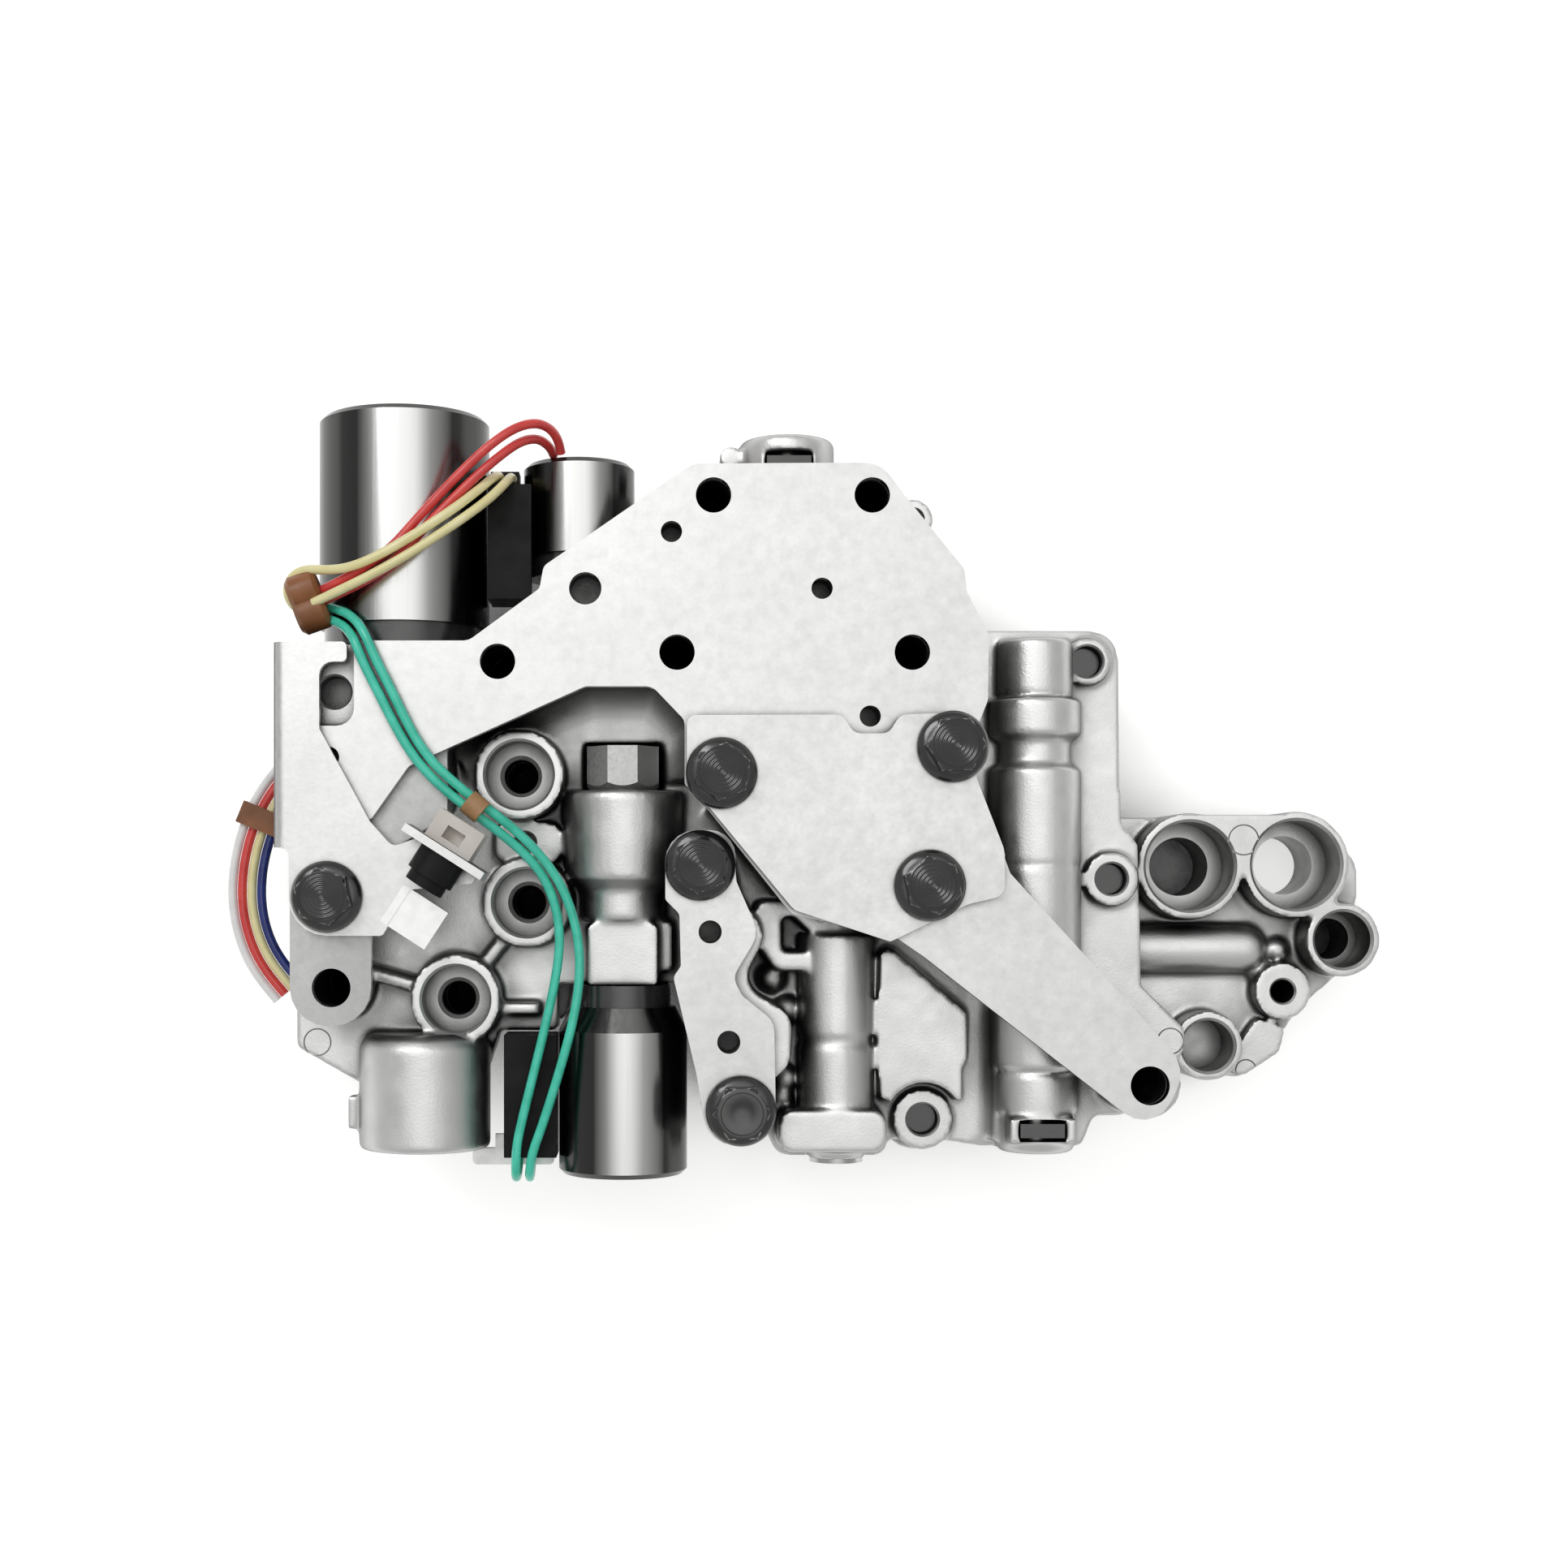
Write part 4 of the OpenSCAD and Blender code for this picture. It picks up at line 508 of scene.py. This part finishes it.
# An ejector pin's ring: width and depth of the groove, how far its cutter stands out, and sides
MARK_WIDTH = 0.3
MARK_DEPTH = 0.3
MARK_OUT = 1
MARK_SIDES = 40
# Height over the part from which a face is looked for
ABOVE = 100


def machine(casting, group):
    """Cuts boxes (two corners) and turned bodies (as add_lathe takes them) out of a casting."""
    bm = bmesh.new()
    for cut in group:
        if len(cut) == 2:
            add_box(bm, *cut)
        else:
            add_lathe(bm, *cut)
    cutter = new_object("cutter", mesh_from(bm, "cutter"))
    drill = casting.modifiers.new("drill", "BOOLEAN")
    drill.operation = "DIFFERENCE"
    drill.solver = "EXACT"
    drill.object = cutter
    apply_modifiers(casting)
    bpy.data.objects.remove(cutter)


def pin_mark(casting, x, y, radius):
    """Cutter of the fine ring that an ejector pin leaves in the face under a place."""
    top = casting.ray_cast(Vector((x, y, ABOVE)) * MM, Vector((0, 0, -1)))[1].z / MM
    outer = radius + MARK_WIDTH
    section = [(-MARK_DEPTH, radius), (MARK_OUT, radius), (MARK_OUT, outer), (-MARK_DEPTH, outer)]
    return (x, y, top), "+z", section, MARK_SIDES, True


def soft_casting(node, name, plugs, cuts, marks, rounds, faces):
    """The casting with its holes filled, its edges rounded, and its holes machined again."""
    bm = bmesh.new()
    bm.from_mesh(NODES[node].data)
    for plug in plugs:
        add_lathe(bm, *plug)
    casting = new_object(name, mesh_from(bm, name))
    remesh = casting.modifiers.new("remesh", "REMESH")
    remesh.mode = "VOXEL"
    remesh.voxel_size = VOXEL * MM
    smooth = casting.modifiers.new("smooth", "SMOOTH")
    smooth.factor = 0.5
    smooth.iterations = rounds
    apply_modifiers(casting)
    thin = casting.modifiers.new("thin", "DECIMATE")
    thin.ratio = min(1, faces / (2 * len(casting.data.polygons)))
    apply_modifiers(casting)
    for group in cuts:
        machine(casting, group)
    bpy.context.view_layer.update()
    machine(casting, [pin_mark(casting, *mark) for mark in marks])
    shade(casting, CAST_SHARP, FINISH["cast_aluminium"])
    settle(casting, node)


def drilled(x, y, top, d, depth):
    """Cutter of a hole down from a face, with a small chamfer."""
    return (x, y, 0), "+z", [(top - depth, d / 2), (top - LIP, d / 2), (top + 1, d / 2 + LIP + 1)]


def filled(x, y, top, d, depth):
    """Plug that fills a hole."""
    radius = d / 2 + PLUG_REACH
    return (x, y, 0), "+z", [(top - depth, radius), (top, radius)]


CASE_HOLES = [(-13.9, 57), (17.4, 57), (-21.1, 26), (25.3, 26), (-56.5, 24.2)]
SCREWS = [(63.2, 26), (68.2, -18.6), (29.4, -67.9)]
PIN_HOLES = [(-22.2, 49.8), (7.5, 38.6), (17, 13.4)]
# Holes of the upper casting as place, height of the face, diameter and depth
UPPER_HOLES = (
    [(x, y, 46.5, 7, 23.3) for x, y in CASE_HOLES]
    + [(x, y, 33, 6.4, 9.8) for x, y in SCREWS]
    + [(x, y, 46.5, 4.2, 5) for x, y in PIN_HOLES]
    + [(-89.8, 5.3, 44.5, 4.2, 3), (-39.2, 38.6, 46.5, 6.4, 5), (-89, 18.4, 46.5, 6.4, 5)]
    + [(72.2, -59.5, 46.5, 7.7, 23.3), (-89.7, -40.3, 44.5, 7.7, 21.3), (27, 54.6, 36, 4.2, 12.8)]
    + [(-14.5, -29.2, 44.5, 4.2, 5), (-10.8, -51.1, 44.5, 4.2, 5), (-52, -11.2, 34.5, 4.2, 3.5)]
)
# Counterbored case bolt holes: places, the plug that fills one, and the profile of its cutter
CUP_HOLES = [(-52.9, 2.4), (-51.3, -23.4), (-65.7, -43)]
CUP_TOP, CUP_D, CUP_DEPTH = 40, 13.6, 16.8
CUP_PROFILE = [(20, 3.5), (32.2, 3.5), (33, 4.3), (33, 6.8), (39.5, 6.8), (41, 8.3)]
# Valve bores as place, way, radius and length
BORES = [
    ((52.4, 24, 33), "-y", 5.5, 98.3), ((11.6, -6, 33), "-y", 5.5, 69.5), ((1.5, 16, 33), "+y", 6.5, 54.8),
    ((-72.6, -53.4, 33), "-y", 10.8, 20.2),
]
CLIP_SLOTS = [((47.7, -71.5, 30), (57.1, -67.1, 60)), ((-3.2, 62.8, 30), (6.2, 67.2, 60))]
# Pipe sockets as place, radius and the step to the narrower hole under it; a step as wide as the socket closes it
SOCKETS = [(87.2, -15.8, 9.3, 3), (109.6, -15.5, 9.3, 3), (119.4, -31.3, 5.9, 1.5), (91, -53.7, 5.4, 5.4)]
SOCKET_FLOOR, SOCKET_TOP = 12, 22
SOCKET_RIM = 1.6
DRAIN = (107.6, -42.3, 19, 5)
# Ejector marks as place and radius
UPPER_MARKS = [(80.7, -52, 2.5), (-95, -52.2, 2.6)]
LOWER_MARKS = [(98.4, -10.3, 3), (100.3, -59.1, 2)]
# Rounds of smoothing and aim for the number of faces
UPPER_ROUNDS, UPPER_FACES = 10, 150000
LOWER_ROUNDS, LOWER_FACES = 8, 120000


def socket_cut(x, y, r, step):
    """Cutter of a pipe socket with its chamfered rim and the hole under it."""
    below = [(-1, r - step), (SOCKET_FLOOR, r - step)] if step < r else [(SOCKET_FLOOR, 0.1)]
    rim = [(SOCKET_FLOOR + 0.01, r), (SOCKET_TOP - 0.6, r), (SOCKET_TOP + 1, r + SOCKET_RIM)]
    return (x, y, 0), "+z", below + rim


def make_castings():
    plugs = [filled(*hole) for hole in UPPER_HOLES]
    plugs += [filled(x, y, CUP_TOP, CUP_D, CUP_DEPTH) for x, y in CUP_HOLES]
    plugs += [(place, way, [(0, r + PLUG_REACH), (length, r + PLUG_REACH)]) for place, way, r, length in BORES]
    holes = [drilled(*hole) for hole in UPPER_HOLES]
    holes += [((x, y, 0), "+z", CUP_PROFILE) for x, y in CUP_HOLES]
    bores = [(place, way, [(0, r), (length + 1, r)]) for place, way, r, length in BORES]
    cuts = [holes, bores, CLIP_SLOTS]
    soft_casting("upper_body", "upper_casting", plugs, cuts, UPPER_MARKS, UPPER_ROUNDS, UPPER_FACES)

    drain_top = DRAIN[2]
    plugs = [filled(x, y, SOCKET_TOP, 2 * r, SOCKET_TOP) for x, y, r, _ in SOCKETS] + [filled(*DRAIN, drain_top)]
    cuts = [[drilled(*DRAIN, drain_top + 1)] + [socket_cut(*socket) for socket in SOCKETS]]
    soft_casting("lower_body", "lower_casting", plugs, cuts, LOWER_MARKS, LOWER_ROUNDS, LOWER_FACES)


# Springs of the joints, copied from their CAD nodes and shaded smooth

def make_springs():
    for joint in frame["record"]["behaviour"]["joints"]:
        for spring in joint["deforming_nodes"]:
            node = spring["node"]
            coil = new_object(node + "_coil", NODES[node].data.copy())
            coil.data.shade_smooth()
            settle(coil, node)
            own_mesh(coil)


# Flange bolts with ringed heads

BOLTS = {
    "cover_bolts": [(-12.4, 2, 51.5), (32.9, 7.2, 51.5), (28.4, -20, 51.5)],
    "retainer_bolts": [(-16.5, -16, 46.5), (-8.4, -64.7, 46.5)],
    "bracket_bolt": [(-89.9, -22.2, 50.6)],
}
# The one bolt without turned rings
PLAIN_BOLT = BOLTS["retainer_bolts"][1]
BOLT_SIDES = 96
BOLT_SHARP = 32
HEX_FLATS = 10
# Turn of the bolts before the first one, and the turn from each to the next
FIRST_TURN, NEXT_TURN = 0.2, 0.7
# Loops of a bolt from its tip up, as height over the seat, radius and whether the hexagon limits it
SHANK = [(-10, 3, False), (-0.02, 3, False)]
FLANGE = [(0, 6.5, False), (0.25, 6.95, False), (0.8, 7, False), (1.2, 6.75, False), (1.7, 6.1, False)]
HEAD = [(1.9, 6.2, True), (5.3, 6.2, True), (5.9, 5.6, True), (6.4, 5.05, True), (6.5, 4.8, True)]
PLAIN_TOP = [(6.5, 4.3, False), (6.28, 4.0, False), (6.25, 2.2, False), (6.1, 1.9, False), (6.1, 0.4, False)]
# Turned rings of the other bolts: middle height, swing and pitch of the waves
RING_HEIGHT, RING_SWING, RING_PITCH = 6.34, 0.1, 0.8
RING_RADII = [4.4 - 0.1 * i for i in range(41)]
RINGED_TOP = [(RING_HEIGHT + RING_SWING * math.cos(2 * math.pi * r / RING_PITCH), r, False) for r in RING_RADII]


def hex_radius(angle):
    """Distance from a hexagon's middle to its side, at an angle."""
    return HEX_FLATS / 2 / math.cos((angle + math.pi / 6) % (math.pi / 3) - math.pi / 6)


def add_bolt(bm, place, turn):
    loops = []
    top = PLAIN_TOP if place == PLAIN_BOLT else RINGED_TOP
    for height, radius, hexagon in SHANK + FLANGE + HEAD + top:
        loop = []
        for i in range(BOLT_SIDES):
            angle = 2 * math.pi * i / BOLT_SIDES
            r = min(radius, hex_radius(angle)) if hexagon else radius
            offset = Vector((r * math.cos(angle + turn), r * math.sin(angle + turn), height))
            loop.append(bm.verts.new((Vector(place) + offset) * MM))
        loops.append(loop)
    skin(bm, loops)


def make_bolts():
    turn = FIRST_TURN
    for node, places in BOLTS.items():
        bm = bmesh.new()
        for place in places:
            turn += NEXT_TURN
            add_bolt(bm, place, turn)
        name = node + "_detailed"
        bolts = new_object(name, mesh_from(bm, name))
        shade(bolts, BOLT_SHARP, FINISH["black_bolt"])
        settle(bolts, node)


# Edges of the plates and small parts

SHEETS = ("main_plate", "cover_plate", "retainer_plate", "anchor_plate", "harness_bracket", "lower_strap")
SMALL_PARTS = ("main_can", "small_can", "lower_can", "adjuster_plug", "small_connector", "lower_connector")
TIES = ("harness_tie", "side_tie")
SHEET_EDGE, PART_EDGE, TIE_EDGE = 0.32, 0.4, 1.1
EDGE_ANGLE = 35


def soften(node, width, segments=2):
    bevel = NODES[node].modifiers.new("edge", "BEVEL")
    bevel.width = width * MM
    bevel.segments = segments
    bevel.limit_method = "ANGLE"
    bevel.angle_limit = math.radians(EDGE_ANGLE)
    bevel.harden_normals = True
    return bevel


def soften_nodes():
    for node in SHEETS:
        NODES[node].data.materials.append(PAINTED_SHADE_EDGE)
        # The bevel faces take the dark edge finish, painted shade along each plate's outline.
        soften(node, SHEET_EDGE).material = 1
    for node in SMALL_PARTS:
        soften(node, PART_EDGE)
    for node in TIES:
        soften(node, TIE_EDGE, segments=4)


# Floor and light

FLOOR_HALF = 3
# Colour of the floor's painted shade under the part and in its holes, and of the open floor
FLOOR_SHADE, FLOOR_PALE = grey(0.03), grey(0.87)
# Brightness added to the open floor where it is seen, so that it shows white
FLOOR_LIFT = 0.6
# Place of the ground under the outer pipe socket that is painted bright, where the floor's painted shade is left
# out, and radii between which that fades
PAINTED_LIGHT_SOCKET = (0.1096, -0.0155, 0)
LIT_FROM, LIT_TO = 8 * MM, 11 * MM
# Way to the brightest part of the sky, and the sky's light by how near a direction is to it
SKY_WAY = (0.05, 0.2, 0.98)
SKY = [(0.0, 0.5), (0.55, 0.4), (0.8, 0.4), (0.92, 0.88), (0.98, 1.2)]
# The one lamp: place, where it points, sides in metres and power in watts
KEY_PLACE = (-0.5, 0.6, 1.0)
KEY_TARGET = (-0.01, 0, 0.03)
KEY_SIDES = (0.5, 0.5)
KEY_POWER = 3.4


def seen_directly(g):
    """1 for camera, glossy and transmission rays, and 0 for the light that bounces."""
    path = g.tree.nodes.new("ShaderNodeLightPath").outputs
    clear = g.join("MAXIMUM", path["Is Camera Ray"], path["Is Glossy Ray"])
    return g.join("MAXIMUM", clear, path["Is Transmission Ray"])


def make_stage():
    half = FLOOR_HALF
    corners = [(-half, -half, 0), (half, -half, 0), (half, half, 0), (-half, half, 0)]
    mesh = bpy.data.meshes.new("floor")
    mesh.from_pydata(corners, [], [(0, 1, 2, 3)])
    g = Graph("floor")
    # Painted light: the ground under the outer pipe socket stays bright.
    painted_light_disc = g.range(g.compare("DISTANCE", g.place, PAINTED_LIGHT_SOCKET), 1, 0, LIT_FROM, LIT_TO)
    # Painted shade: the floor darkens under the part and in its holes, and its white lift fades there too.
    clear = g.join("MAXIMUM", g.painted_shade_mask(35 * MM, 0.24, 0.42), painted_light_disc)
    lift = g.join("MULTIPLY", seen_directly(g), g.range(clear, 0, FLOOR_LIFT, 0, 1))
    mesh.materials.append(g.set(
        Base_Color=g.mix(clear, FLOOR_SHADE, FLOOR_PALE), Roughness=0.8,
        Specular_IOR_Level=0.1, Emission_Color=grey(1), Emission_Strength=lift))
    new_object("floor", mesh)


def make_sky():
    world = bpy.data.worlds.new("world")
    bpy.context.scene.world = world
    world.use_nodes = True
    tree = world.node_tree
    nearness = tree.nodes.new("ShaderNodeVectorMath")
    nearness.operation = "DOT_PRODUCT"
    nearness.inputs[1].default_value = SKY_WAY
    ramp = tree.nodes.new("ShaderNodeValToRGB")
    elements = ramp.color_ramp.elements
    while len(elements) < len(SKY):
        elements.new(0.5)
    for element, (position, value) in zip(elements, SKY):
        element.position = position
        element.color = grey(value)
    direction = tree.nodes.new("ShaderNodeTexCoord").outputs["Generated"]
    tree.links.new(direction, nearness.inputs[0])
    tree.links.new(nearness.outputs["Value"], ramp.inputs["Fac"])
    tree.links.new(ramp.outputs["Color"], tree.nodes["Background"].inputs["Color"])


def make_lamp():
    data = bpy.data.lights.new("key", "AREA")
    data.shape = "RECTANGLE"
    data.size, data.size_y = KEY_SIDES
    data.energy = KEY_POWER
    lamp = new_object("key", data)
    lamp.location = KEY_PLACE
    aim = Vector(KEY_TARGET) - Vector(KEY_PLACE)
    lamp.rotation_euler = aim.to_track_quat("-Z", "Y").to_euler()


make_camera()
make_wires()
dress_nodes()
soften_nodes()
make_castings()
make_springs()
make_bolts()
make_stage()
make_sky()
make_lamp()
bpy.context.scene.view_settings.view_transform = "Standard"
